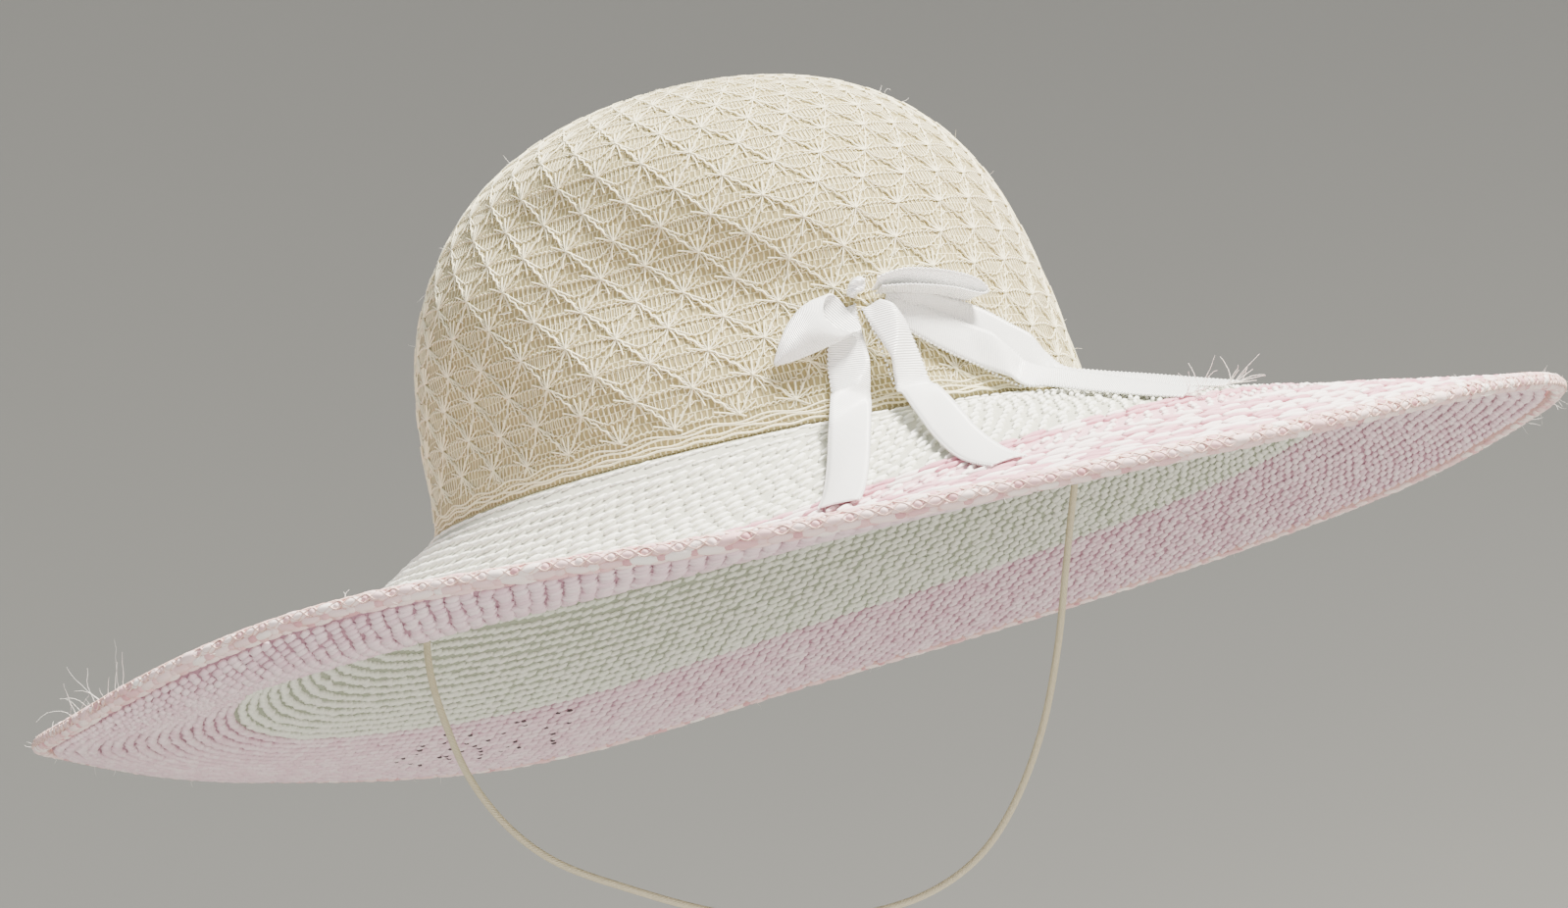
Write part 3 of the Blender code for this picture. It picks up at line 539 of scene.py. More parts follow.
# Foot of the lace: four cream threads run round the crown just above the brim, where the lace is linked on.
FOOT_THREADS = (
    # height_mm, radius_mm, wave_mm, waves
    (0.9, 0.30, 0.25, 61),
    (2.0, 0.27, 0.35, 47),
    (3.1, 0.26, 0.45, 38),
    (4.3, 0.24, 0.55, 38),
)
points, edges, thickness = [], [], []
for number, (height_mm, radius_mm, wave_mm, waves) in enumerate(FOOT_THREADS):
    turn = np.arange(420) * 2 * math.pi / 420
    wave = wave_mm * np.sin(waves * turn + number)
    height = (height_mm + wave + 0.3 * np.sin(5 * turn + 2 * number)) / 1000
    points.append(crown_place(turn, height / CROWN_HEIGHT, np.full(420, 0.0002)))
    index = number * 420 + np.arange(420)
    edges.append(np.stack([index, np.roll(index, -1)], -1))
    thickness.append(np.full(420, radius_mm / 1000))
foot_guide = guide_mesh("lace_foot_threads", *(np.concatenate(part) for part in (points, edges, thickness)))
foot_threads = grow("lace_foot_threads", foot_guide, lace_yarn, {"Yarn Thickness": 1.0, "Yarn Sides": 4})

# Brim: knitted round and round in 28 courses from the crown's foot outwards, first in white cotton and then
# in pink with white. It slopes down all round, curls up a little at the edge, and is lower at the back.
BRIM_HALF_WIDTH = 0.2085
BRIM_HALF_DEPTH = 0.2012
BRIM_SHIFT = 0.0040
BRIM_DROP = 0.0360
BRIM_WALL = 0.0022
BRIM_GAP = 0.0003
BRIM_SADDLE = (
    # azimuth_deg, drop_share, curl
    (-180.0, 0.97, 2.00), (-150.0, 0.96, 1.30), (-120.0, 0.78, 2.30), (-90.0, 0.93, 1.20),
    (-60.0, 0.88, 0.25), (-30.0, 0.73, 0.10), (0.0, 0.71, 0.00), (30.0, 0.94, 0.15),
    (60.0, 1.17, 0.30), (90.0, 1.39, 0.45), (120.0, 1.60, 0.65), (150.0, 1.31, 1.30),
)
COURSES = 28
WHITE_COURSES_TOP = 13
WHITE_COURSES_UNDER = 16


def brim_surface(azimuth, share):
    """Points of the brim's top, from the crown's foot (0) to its outer edge (1)."""
    azimuth, share = np.broadcast_arrays(np.asarray(azimuth, float), np.asarray(share, float))
    place = (np.degrees(azimuth) + 180.0) / 30.0
    start = np.floor(place).astype(int)
    t = place - start
    table = np.array(BRIM_SADDLE)[:, 1:]
    a, b, c, d = (table[(start + k) % len(table)] for k in (-1, 0, 1, 2))
    t = t[..., None]
    saddle = 0.5 * (2 * b + (c - a) * t + (2 * a - 5 * b + 4 * c - d) * t * t
                    + (3 * b - a - 3 * c + d) * t ** 3)
    drop, curl = saddle[..., 0], saddle[..., 1]
    foot_width, foot_depth = CROWN_HALF_WIDTH + CROWN_FOOT_FLARE, CROWN_HALF_DEPTH + CROWN_FOOT_FLARE
    return np.stack([
        (foot_width + (BRIM_HALF_WIDTH - foot_width) * share) * np.cos(azimuth) + BRIM_SHIFT * share,
        (foot_depth + (BRIM_HALF_DEPTH - foot_depth) * share) * np.sin(azimuth),
        -BRIM_GAP - BRIM_DROP * drop * ((1.0 + curl) * share - curl * share * share),
    ], -1)


def brim_place(azimuth, share, lift):
    """Points over the brim's top, lifted up from it, or under it with a lift below minus the wall."""
    azimuth, share = np.broadcast_arrays(np.asarray(azimuth, float), np.asarray(share, float))
    upward = surface_normals(brim_surface, azimuth, share, -1.0)
    return brim_surface(azimuth, share) + upward * np.asarray(lift)[..., None]


# Knitted cotton ground behind the stitches: matt, and painted darker than them as painted shade, for the
# shade they cast on it.
def yarn_ground(name, dark, light):
    """Matt cotton with a fine mottle, for the cloth that shows between stitches."""
    made, tree, shader = new_material(name, 0.92)
    place = add_node(tree, "ShaderNodeTexCoord")
    mottle = add_node(tree, "ShaderNodeTexNoise", {"Scale": 700.0, "Detail": 2.0},
                      {"Vector": place.outputs["Object"]})
    mixed = add_node(tree, "ShaderNodeMix", {6: linear_colour(dark), 7: linear_colour(light)},
                     {0: mottle.outputs["Fac"]}, data_type="RGBA")
    tree.links.new(mixed.outputs[2], shader.inputs["Base Color"])
    bump = add_node(tree, "ShaderNodeBump", {"Strength": 0.5, "Distance": 0.0004},
                    {"Height": mottle.outputs["Fac"]})
    tree.links.new(bump.outputs["Normal"], shader.inputs["Normal"])
    return made


# The lower grounds are painted darker than the upper ones, as painted shade under the brim.
brim_grounds = [
    yarn_ground("white cotton knit, upper ground in painted shade", "B4B4A5", "C6C6B8"),
    yarn_ground("pink cotton knit, upper ground in painted shade", "CE9FA8", "E0BDC2"),
    yarn_ground("white cotton knit, lower ground in painted shade", "959B88", "AAB09E"),
    yarn_ground("pink cotton knit, lower ground in painted shade", "A67A8C", "BC94A4"),
]
BRIM_COLUMNS = 180
ring_azimuths = -math.pi + np.arange(BRIM_COLUMNS + 1) * 2 * math.pi / BRIM_COLUMNS
ring_shares = np.arange(COURSES * 2 + 1) / (COURSES * 2)
grid_azimuth, grid_share = np.meshgrid(ring_azimuths, ring_shares)
ridge = np.where(np.arange(COURSES * 2 + 1) % 2 == 1, 0.0, -0.0003)[:, None]
top = brim_place(grid_azimuth, grid_share, ridge + np.zeros(grid_share.shape))
under = brim_place(grid_azimuth, grid_share, -BRIM_WALL - ridge + np.zeros(grid_share.shape))
under[0] = top[0] - (0.0, 0.0, BRIM_WALL)
brim_uv = np.stack([grid_azimuth, grid_share], -1)
brim_knit = closed_wall(
    "brim_knit_ground", top[:, :-1], under[:, :-1], brim_uv, brim_uv, brim_grounds,
    [0 if r < 2 * WHITE_COURSES_TOP else 1 for r in range(COURSES * 2)],
    [2 if r < 2 * WHITE_COURSES_UNDER else 3 for r in range(COURSES * 2)])
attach(brim_knit, "root")
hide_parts("brim")


def stitch_tree(name, finish):
    """Geometry Nodes: one small padded stitch on each guide point, turned and sized by its attributes."""
    made = bpy.data.node_groups.new(name, "GeometryNodeTree")
    made.interface.new_socket("Geometry", in_out="INPUT", socket_type="NodeSocketGeometry")
    for label, value in (("Stitch Sides", 6), ("Stitch Rings", 4)):
        made.interface.new_socket(label, in_out="INPUT", socket_type="NodeSocketInt").default_value = value
    made.interface.new_socket("Geometry", in_out="OUTPUT", socket_type="NodeSocketGeometry")
    start = add_node(made, "NodeGroupInput")
    bead = add_node(made, "GeometryNodeMeshUVSphere", {"Radius": 0.5},
                    {"Segments": start.outputs["Stitch Sides"], "Rings": start.outputs["Stitch Rings"]})
    mapped = add_node(made, "GeometryNodeStoreNamedAttribute", {"Name": "UVMap"},
                      {"Geometry": bead.outputs["Mesh"], "Value": bead.outputs["UV Map"]},
                      data_type="FLOAT2", domain="CORNER")
    smooth = add_node(made, "GeometryNodeSetShadeSmooth", None, {"Geometry": mapped.outputs["Geometry"]})
    along, outward, size = (add_node(made, "GeometryNodeInputNamedAttribute", {"Name": label},
                                     data_type="FLOAT_VECTOR")
                            for label in ("along", "outward", "size"))
    turned = add_node(made, "FunctionNodeAxesToRotation", None,
                      {"Primary Axis": along.outputs["Attribute"],
                       "Secondary Axis": outward.outputs["Attribute"]},
                      primary_axis="Z", secondary_axis="X")
    placed = add_node(made, "GeometryNodeInstanceOnPoints", None, {
        "Points": start.outputs["Geometry"], "Instance": smooth.outputs["Geometry"],
        "Rotation": turned.outputs["Rotation"], "Scale": size.outputs["Attribute"]})
    real = add_node(made, "GeometryNodeRealizeInstances", None, {"Geometry": placed.outputs["Instances"]})
    dressed = add_node(made, "GeometryNodeSetMaterial", {"Material": finish},
                       {"Geometry": real.outputs["Geometry"]})
    add_node(made, "NodeGroupOutput", None, {"Geometry": dressed.outputs["Geometry"]})
    return made


def stitch_points(name, centres, along, outward, size, tone):
    """Guide points for stitches. size is thickness, breadth and length, and tone runs from white to pink."""
    mesh = bpy.data.meshes.new(name)
    centres = np.asarray(centres).reshape(-1, 3)
    mesh.vertices.add(len(centres))
    mesh.vertices.foreach_set("co", centres.astype(np.float32).ravel())
    for label, values in (("along", along), ("outward", outward), ("size", size)):
        values = np.broadcast_to(np.asarray(values, np.float32), (*np.asarray(along).shape,)).reshape(-1, 3)
        mesh.attributes.new(label, "FLOAT_VECTOR", "POINT").data.foreach_set("vector", values.ravel())
    tones = mesh.attributes.new("tone", "FLOAT", "POINT")
    tones.data.foreach_set("value", np.asarray(tone, np.float32).ravel())
    return mesh


def stitch_yarn(name, stops, roughness, twist_scale):
    """Twisted cotton yarn: tone picks its colour from white to pink, and fine plies run round it."""
    made, tree, shader = new_material(name, roughness)
    tone = add_node(tree, "ShaderNodeAttribute", attribute_name="tone")
    ramp = add_node(tree, "ShaderNodeValToRGB", None, {0: tone.outputs["Fac"]})
    while len(ramp.color_ramp.elements) < len(stops):
        ramp.color_ramp.elements.new(0.5)
    for element, (at, colour) in zip(ramp.color_ramp.elements, stops):
        element.position = at
        element.color = linear_colour(colour)
    tree.links.new(ramp.outputs["Color"], shader.inputs["Base Color"])
    place = add_node(tree, "ShaderNodeTexCoord")
    plies = add_node(tree, "ShaderNodeTexWave", {"Scale": twist_scale, "Distortion": 0.3},
                     {"Vector": place.outputs["UV"]}, wave_type="BANDS", bands_direction="DIAGONAL")
    bump = add_node(tree, "ShaderNodeBump", {"Strength": 0.35, "Distance": 0.0002},
                    {"Height": plies.outputs["Fac"]})
    tree.links.new(bump.outputs["Normal"], shader.inputs["Normal"])
    shader.inputs["Sheen Weight"].default_value = 0.15
    shader.inputs["Sheen Roughness"].default_value = 0.4
    return made


def brim_stitches(course, count, slant_deg, skew, length, breadth, thick, lift, tone, under=False,
                  wobble=0.12, courses=COURSES):
    """Stitches of one course: centres, directions, sizes and tones."""
    share = (course + 0.5) / courses
    number = np.arange(count)
    azimuth = -math.pi + (number + course * skew + random.normal(0.0, wobble, count)) * 2 * math.pi / count
    shares = np.full(count, share) + random.normal(0.0, 0.0018, count)
    centres = brim_place(azimuth, shares, np.full(count, lift))
    outward = surface_normals(brim_surface, azimuth, shares, -1.0)
    around = brim_surface(azimuth + 0.004, shares) - brim_surface(azimuth - 0.004, shares)
    around /= np.linalg.norm(around, axis=1)[:, None]
    inward = np.cross(outward, around)
    slant = np.radians(slant_deg + random.normal(0.0, 4.0, count))[:, None]
    along = around * np.cos(slant) + inward * np.sin(slant)
    if under:
        outward = -outward
    size = np.stack([np.full(count, thick), np.full(count, breadth), np.full(count, length)], 1)
    size *= 1.0 + random.normal(0.0, 0.07, (count, 1))
    return centres, along, outward, size, np.broadcast_to(tone, (count,))


def stitch_rows(name, rows, finish_tree, sizes):
    """Grows one piece of stitches from several rows of them."""
    parts = [np.concatenate([row[k] for row in rows]) for k in range(5)]
    made = grow(name, stitch_points(name, *parts), finish_tree, sizes)
    return made


upper_yarn = stitch_yarn("twisted cotton yarn, upper side", (
    (0.0, "F3F3EA"), (0.30, "F7EDEA"), (0.55, "F1D7D9"), (0.80, "E0B0B9"), (1.0, "CC8C9B")), 0.70, 1.6)
upper_stitch = stitch_tree("upper stitch", upper_yarn)
rows = []
for course in range(WHITE_COURSES_TOP):
    if course < 2:
        rows.append(brim_stitches(course, 200, 14.0, 0.25, 0.0042, 0.0013, 0.0009, 0.0001, 0.0))
    else:
        rows.append(brim_stitches(course, 176, 31.0, 0.25, 0.0050, 0.0013, 0.0016, 0.0002, 0.0))
stitch_rows("brim_white_stitches", rows, upper_stitch, {"Stitch Sides": 6, "Stitch Rings": 4})
rows = []
for course in range(WHITE_COURSES_TOP, COURSES):
    count = 150 if course < 22 else 156
    picks = random.random(count)
    if course < 15:
        tone = np.where(picks < 0.70, 0.85 + 0.2 * picks, 0.25)
        rows.append(brim_stitches(course, count, 6.0, 0.5, 0.0088, 0.0019, 0.0016, 0.0002, tone))
    elif course < 18:
        tone = 0.15 + 0.45 * random.random(190)
        rows.append(brim_stitches(course, 190, 34.0, 0.25, 0.0046, 0.0017, 0.0013, 0.0002, tone))
    else:
        tone = np.where(picks < 0.46, 0.80 + 0.4 * picks, 0.10 + 0.35 * picks)
        slant = 12.0 if course % 2 else -12.0
        rows.append(brim_stitches(course, count, slant, 0.5, 0.0092, 0.0023, 0.0017, 0.0003, tone))
stitch_rows("brim_pink_stitches", rows, upper_stitch, {"Stitch Sides": 6, "Stitch Rings": 4})

# Under the brim each course shows as a rope of slanted lumps, and the plain back of the knit makes them
# finer, 3 mm from one rope to the next.
ROPES = 37
WHITE_ROPES = 21
ROPE_PITCH = 0.0039
lower_yarn = stitch_yarn("twisted cotton yarn, lower side", (
    (0.0, "E6EADC"), (0.30, "EEE8E4"), (0.55, "EFD8E0"), (0.80, "DFBBC9"), (1.0, "CFA0B3")), 0.74, 1.2)
lower_stitch = stitch_tree("lower stitch", lower_yarn)
for piece_name, first, last in (("brim_under_white", 0, WHITE_ROPES),
                                ("brim_under_pink", WHITE_ROPES, ROPES)):
    rows = []
    for course in range(first, last):
        mean = 0.094 + 0.1108 * (course + 0.5) / ROPES
        count = int(round(2 * math.pi * mean / ROPE_PITCH))
        picks = random.random(count)
        tone = 0.05 + 0.12 * picks if last == WHITE_ROPES else 0.50 + 0.24 * picks
        rows.append(brim_stitches(course, count, -20.0, 0.3, 0.0049, 0.0023, 0.0023, -BRIM_WALL - 0.0002,
                                  tone, True, 0.06, ROPES))
    stitch_rows(piece_name, rows, lower_stitch, {"Stitch Sides": 5, "Stitch Rings": 3})

# Where the far side of the brim is stretched, the knit gapes in a few rows of short slits, drawn as small
# dark lumps of painted shade.
SLIT_MIDDLE_DEG = 128.5
SLIT_REACH_DEG = 11.0
SLIT_CHANCE = 0.34
SLIT_PLACES = 200
# The dark colour is painted shade, for the shade seen through the gaps in the knit.
slit_shade_finish, tree, shader = new_material("painted shade in open gaps between stitches", 0.95)
shader.inputs["Base Color"].default_value = linear_colour("5A4C50")
rows = []
for course in range(22, 31):
    row = brim_stitches(course + 0.5, SLIT_PLACES, 0.0, 0.0, 0.0021, 0.0006, 0.0009, -BRIM_WALL - 0.0008, 0.0,
                        True, 0.3, ROPES)
    azimuth_deg = -180.0 + 1.8 * np.arange(SLIT_PLACES)
    stretched = np.abs(azimuth_deg - SLIT_MIDDLE_DEG) < SLIT_REACH_DEG
    keep = stretched & (random.random(SLIT_PLACES) < SLIT_CHANCE)
    rows.append(tuple(part[keep] for part in row))
stitch_rows("brim_slit_shade", rows, stitch_tree("open slit shade", slit_shade_finish),
            {"Stitch Sides": 5, "Stitch Rings": 3})

# Rim edge: a thick crocheted chain of pink and white yarn over the last course. Each link is a long lump in a
# peach loop, with a small lump between two links.
RIM_WIDTH = 0.0044
RIM_THICK = 0.0038
RIM_LINK = 0.0072
rim_finish = yarn_ground("cotton crochet core, tan pink", "CFA29E", "DFBAB4")
RIM_COLUMNS = 240
RIM_SIDES = 12
turn = -math.pi + np.arange(RIM_COLUMNS) * 2 * math.pi / RIM_COLUMNS


def rim_frame(azimuth):
    """The rim's centre line, and the directions outwards along the brim and up from it."""
    edge = brim_surface(azimuth, 1.0)
    normal = surface_normals(brim_surface, azimuth, np.full(azimuth.shape, 0.998), -1.0)
    around = brim_surface(azimuth + 0.002, 1.0) - brim_surface(azimuth - 0.002, 1.0)
    around /= np.linalg.norm(around, axis=-1)[..., None]
    reach = np.cross(around, normal)
    return edge - normal * BRIM_WALL / 2 + reach * (BRIM_GAP + RIM_WIDTH / 2), reach, normal, around


centre, reach, normal, around = rim_frame(turn)
angle = np.arange(RIM_SIDES) * 2 * math.pi / RIM_SIDES
bead = (centre[:, None] + reach[:, None] * (np.cos(angle) * RIM_WIDTH * 0.47)[:, None]
        + normal[:, None] * (np.sin(angle) * RIM_THICK * 0.47)[:, None])
faces = []
for i in range(RIM_COLUMNS):
    for k in range(RIM_SIDES):
        j, m = (i + 1) % RIM_COLUMNS, (k + 1) % RIM_SIDES
        faces.append((i * RIM_SIDES + k, j * RIM_SIDES + k, j * RIM_SIDES + m, i * RIM_SIDES + m))
rim_core = link_mesh("rim_edge_core", bead.reshape(-1, 3), faces, rim_finish)
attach(rim_core, "root")
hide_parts("rim_edge")

rim_yarn = stitch_yarn("cotton crochet yarn, rim", (
    (0.0, "F9F2EC"), (0.30, "F6E2DE"), (0.55, "EFCFCE"), (0.80, "E3B3B6"), (1.0, "D29AA0")), 0.72, 1.2)
rim_stitch = stitch_tree("rim stitch", rim_yarn)
walk = np.linalg.norm(np.roll(centre, -1, 0) - centre, axis=1)
links = int(round(walk.sum() / RIM_LINK))
gone = np.concatenate([[0.0], np.cumsum(walk)])
rows = []
for row_angle, phase, long_mm, broad_mm, thick_mm in (
        (66.0, 0.0, 6.2, 2.5, 1.6), (8.0, 0.45, 6.2, 2.4, 1.6), (-48.0, 0.9, 6.2, 2.3, 1.5),
        (-98.0, 0.2, 6.2, 2.3, 1.3), (118.0, 0.3, 6.2, 2.4, 1.5)):
    for small in (False, True):
        link_place = np.arange(links) + phase + (0.5 if small else 0.0) + random.normal(0.0, 0.04, links)
        along_at = link_place / links * gone[-1]
        azimuth = np.interp(along_at % gone[-1], gone, np.append(turn, turn[0] + 2 * math.pi))
        at, reach, normal, around = rim_frame(azimuth)
        tilt = math.radians(row_angle)
        outward = reach * math.cos(tilt) + normal * math.sin(tilt)
        centres = at + reach * math.cos(tilt) * RIM_WIDTH * 0.42 + normal * math.sin(tilt) * RIM_THICK * 0.42
        across = np.cross(outward, around)
        along = around + across * random.normal(0.0, 0.10, (links, 1))
        length = (2.6 if small else long_mm) / 1000
        thick = thick_mm / 1000 * (0.9 if small else 1.0)
        broad = broad_mm / 1000 * (0.8 if small else 1.0)
        size = np.stack([np.full(links, thick), np.full(links, broad), np.full(links, length)], 1)
        size *= 1.0 + random.normal(0.0, 0.08, (links, 1))
        tone = np.clip(random.normal(0.50 if not small else 0.72, 0.20, links), 0.0, 1.0)
        rows.append((centres, along, outward, size, tone))
stitch_rows("rim_chain_stitches", rows, rim_stitch, {"Stitch Sides": 7, "Stitch Rings": 5})
loop_finish, tree, shader = new_material("cotton crochet yarn, peach", 0.75)
shader.inputs["Base Color"].default_value = linear_colour("E3BFB4")
LOOP_ROWS = ((66.0, 0.0, 1), (66.0, 0.0, -1), (8.0, 0.45, 1), (8.0, 0.45, -1))
points, edges, thickness = [], [], []
for number, (row_angle, phase, sign) in enumerate(LOOP_ROWS):
    count = links * 8
    step = np.arange(count) / 8
    azimuth = np.interp((step + phase + 0.25) / links * gone[-1] % gone[-1], gone,
                        np.append(turn, turn[0] + 2 * math.pi))
    at, reach, normal, around = rim_frame(azimuth)
    tilt = np.radians(row_angle + sign * 29.0 * np.cos(2 * math.pi * (step + 0.25)))[:, None]
    points.append(at + reach * np.cos(tilt) * (RIM_WIDTH / 2 + 0.0002)
                  + normal * np.sin(tilt) * (RIM_THICK / 2 + 0.0002))
    index = number * count + np.arange(count)
    edges.append(np.stack([index, np.roll(index, -1)], -1))
    thickness.append(np.full(count, 0.00028))
loop_guide = guide_mesh("rim_chain_loops", *(np.concatenate(part) for part in (points, edges, thickness)))
rim_loops = grow("rim_chain_loops", loop_guide, yarn_tree("rim loops", loop_finish),
                 {"Yarn Thickness": 1.0, "Yarn Sides": 3})

# Bow: white satin ribbon 10 mm wide, tied by hand on the front of the crown. It has two loops, two short
# tails that fall over the brim, and two long ones that run along it to the right. The small knot in the
# middle gathers it.
RIBBON_WIDTH = 0.0100
RIBBON_THICK = 0.0004
RIBBON_LIFT = 0.0011
FOOT_BEND = 0.0080
KNOT_AZIMUTH = math.radians(-68.2)
KNOT_HEIGHT_SHARE = 0.288

# Woven satin: smooth and bright where the light grazes it, with fine weft lines 0.6 mm apart on the slant,
# coarser than the real ones so that they show.
satin_finish, tree, shader = new_material("woven satin ribbon, white", 0.30)
shader.inputs["Base Color"].default_value = linear_colour("FDFDFB")
shader.inputs["Specular IOR Level"].default_value = 0.65
shader.inputs["Sheen Weight"].default_value = 0.25
shader.inputs["Sheen Roughness"].default_value = 0.35
place = add_node(tree, "ShaderNodeTexCoord")
slanted = add_node(tree, "ShaderNodeMapping", {"Rotation": (0.0, 0.0, math.radians(72.0))},
                   {"Vector": place.outputs["UV"]})
weft = add_node(tree, "ShaderNodeTexWave",
                {"Scale": 0.52, "Distortion": 0.6, "Detail": 1.0, "Detail Scale": 0.4},
                {"Vector": slanted.outputs["Vector"]}, wave_type="BANDS", bands_direction="X")
bump = add_node(tree, "ShaderNodeBump", {"Strength": 0.75, "Distance": 0.00022},
                {"Height": weft.outputs["Fac"]})
tree.links.new(bump.outputs["Normal"], shader.inputs["Normal"])


def hat_normal(azimuth, height):
    """Directions out of the hat, turning smoothly from the crown's wall to the brim at the foot."""
    blend = np.clip(0.5 + height / (2 * FOOT_BEND), 0.0, 1.0)[..., None]
    over_crown = surface_normals(crown_surface, azimuth, np.maximum(height, 0.0) / CROWN_HEIGHT, 1.0)
    over_brim = surface_normals(brim_surface, azimuth,
                                np.maximum(-height, 0.0) / (BRIM_HALF_DEPTH - CROWN_HALF_DEPTH), -1.0)
    normal = over_crown * blend + over_brim * (1.0 - blend)
    return normal / np.linalg.norm(normal, axis=-1)[..., None]


def hat_place(across, up, out):
    """Places measured over the hat from the bow's knot: across and up over its surface, and out from it."""
    azimuth = KNOT_AZIMUTH + across / CROWN_HALF_WIDTH
    height = CROWN_HEIGHT * KNOT_HEIGHT_SHARE + up
    on_crown = crown_surface(azimuth, np.maximum(height, 0.0) / CROWN_HEIGHT)
    on_brim = brim_surface(azimuth, np.maximum(-height, 0.0) / (BRIM_HALF_DEPTH - CROWN_HALF_DEPTH))
    on_hat = np.where((height >= 0.0)[..., None], on_crown, on_brim)
    return on_hat + hat_normal(azimuth, height) * out[..., None]


def clear_of_hat(points, lift):
    """The points, moved out or up where they are nearer than lift to the crown's wall or the brim's top."""
    points = points.copy()
    azimuth = np.arctan2(points[:, 1] / CROWN_HALF_DEPTH, points[:, 0] / CROWN_HALF_WIDTH)
    wall = crown_surface(azimuth, np.maximum(points[:, 2], 0.0) / CROWN_HEIGHT)
    radius = np.hypot(points[:, 0], points[:, 1])
    short = np.maximum(lift - (radius - np.hypot(wall[:, 0], wall[:, 1])), 0.0)
    points[:, :2] *= (1.0 + short / radius)[:, None]
    foot_width, foot_depth = CROWN_HALF_WIDTH + CROWN_FOOT_FLARE, CROWN_HALF_DEPTH + CROWN_FOOT_FLARE
    share = np.zeros(len(points))
    for _ in range(4):
        x = (points[:, 0] - BRIM_SHIFT * share) / (foot_width + (BRIM_HALF_WIDTH - foot_width) * share)
        y = points[:, 1] / (foot_depth + (BRIM_HALF_DEPTH - foot_depth) * share)
        azimuth = np.arctan2(y, x)
        share = np.maximum(share + (np.hypot(x, y) - 1.0) * foot_width / (BRIM_HALF_WIDTH - foot_width), 0.0)
    share = np.minimum(share, 1.0)
    upward = surface_normals(brim_surface, azimuth, share, -1.0)
    level = brim_surface(azimuth, share)[:, 2] + lift / upward[:, 2]
    points[:, 2] = np.maximum(points[:, 2], level)
    return points


def face_outwards(made):
    """Merges doubled points and turns a closed mesh's faces outwards."""
    work = bmesh.new()
    work.from_mesh(made.data)
    bmesh.ops.remove_doubles(work, verts=work.verts, dist=0.000002)
    bmesh.ops.recalc_face_normals(work, faces=work.faces)
    work.to_mesh(made.data)
    work.free()


def ribbon_edges(table):
    """The two edges of a ribbon that follows a table of bends over the hat."""
    rows = np.array(table)
    across, up, out = (rows[:, k] * RIBBON_WIDTH for k in range(3))
    out = out - 0.0003
    half = rows[:, 5] * RIBBON_WIDTH / 2
    turn, tilt = np.radians(rows[:, 3]), np.radians(rows[:, 4])
    flat = half * np.cos(tilt)
    side, rise, step = flat * np.cos(turn), flat * np.sin(turn), half * np.sin(tilt)
    azimuth = KNOT_AZIMUTH + across / CROWN_HALF_WIDTH
    normal = hat_normal(azimuth, CROWN_HEIGHT * KNOT_HEIGHT_SHARE + up)
    sideways = np.stack([-np.sin(azimuth), np.cos(azimuth), np.zeros(len(azimuth))], 1)
    sideways -= normal * (sideways * normal).sum(1)[:, None]
    sideways /= np.linalg.norm(sideways, axis=1)[:, None]
    reach = sideways * side[:, None] + np.cross(normal, sideways) * rise[:, None] + normal * step[:, None]
    centre = hat_place(across, up, out)
    smooth = smooth_path(np.concatenate([centre - reach, centre + reach], 1), 8)
    return clear_of_hat(smooth[:, :3], RIBBON_LIFT), clear_of_hat(smooth[:, 3:], RIBBON_LIFT)


def ribbon_strip(name, left, right, bulge, ripple=0.0, creases=()):
    """A thin closed strip of ribbon between two edges, a little hollow across, its UV map in millimetres."""
    columns = np.linspace(-1.0, 1.0, 9)
    count = len(left)
    middle = (left + right) / 2
    along = np.gradient(middle, axis=0)
    face = np.cross(right - left, along)
    face /= np.linalg.norm(face, axis=1)[:, None]
    outward = hat_normal(np.arctan2(middle[:, 1], middle[:, 0]), middle[:, 2])
    face *= np.where((face * outward).sum(1).mean() < 0.0, -1.0, 1.0)
    gone = np.concatenate([[0.0], np.cumsum(np.linalg.norm(np.diff(middle, axis=0), axis=1))])
    wave = ripple * np.sin(gone[:, None] / 0.0085 + 1.3 * columns) * (1.0 - columns ** 2)
    for at, skew, height, reach in creases:
        off = np.abs(gone[:, None] - at - skew * columns) / reach
        wave = wave + height * np.maximum(0.0, 1.0 - off)
    sheet = (middle[:, None] + (right - left)[:, None] / 2 * columns[:, None]
             + face[:, None] * (bulge * (1.0 - columns ** 2) + wave)[..., None])
    outer, inner = sheet + face[:, None] * RIBBON_THICK / 2, sheet - face[:, None] * RIBBON_THICK / 2
    section = np.concatenate([outer, inner[:, ::-1]], 1)
    round_count = section.shape[1]
    u_of = np.concatenate([(columns + 1.0) * 5.0, (columns[::-1] + 1.0) * 5.0])
    faces, uvs = [], []
    for i in range(count - 1):
        for k in range(round_count):
            m = (k + 1) % round_count
            faces.append((i * round_count + k, i * round_count + m, (i + 1) * round_count + m,
                          (i + 1) * round_count + k))
            uvs += [(u_of[k], gone[i] * 1000), (u_of[m], gone[i] * 1000),
                    (u_of[m], gone[i + 1] * 1000), (u_of[k], gone[i + 1] * 1000)]
    for end in (0, count - 1):
        for k in range(8):
            quad = (k, k + 1, round_count - 2 - k, round_count - 1 - k)
            faces.append(tuple(end * round_count + v for v in quad))
            uvs += [(u_of[v], gone[end] * 1000) for v in quad]
    made = link_mesh(name, section.reshape(-1, 3), faces, satin_finish, uvs)
    face_outwards(made)
    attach(made, "root")
    return made, gone[-1]


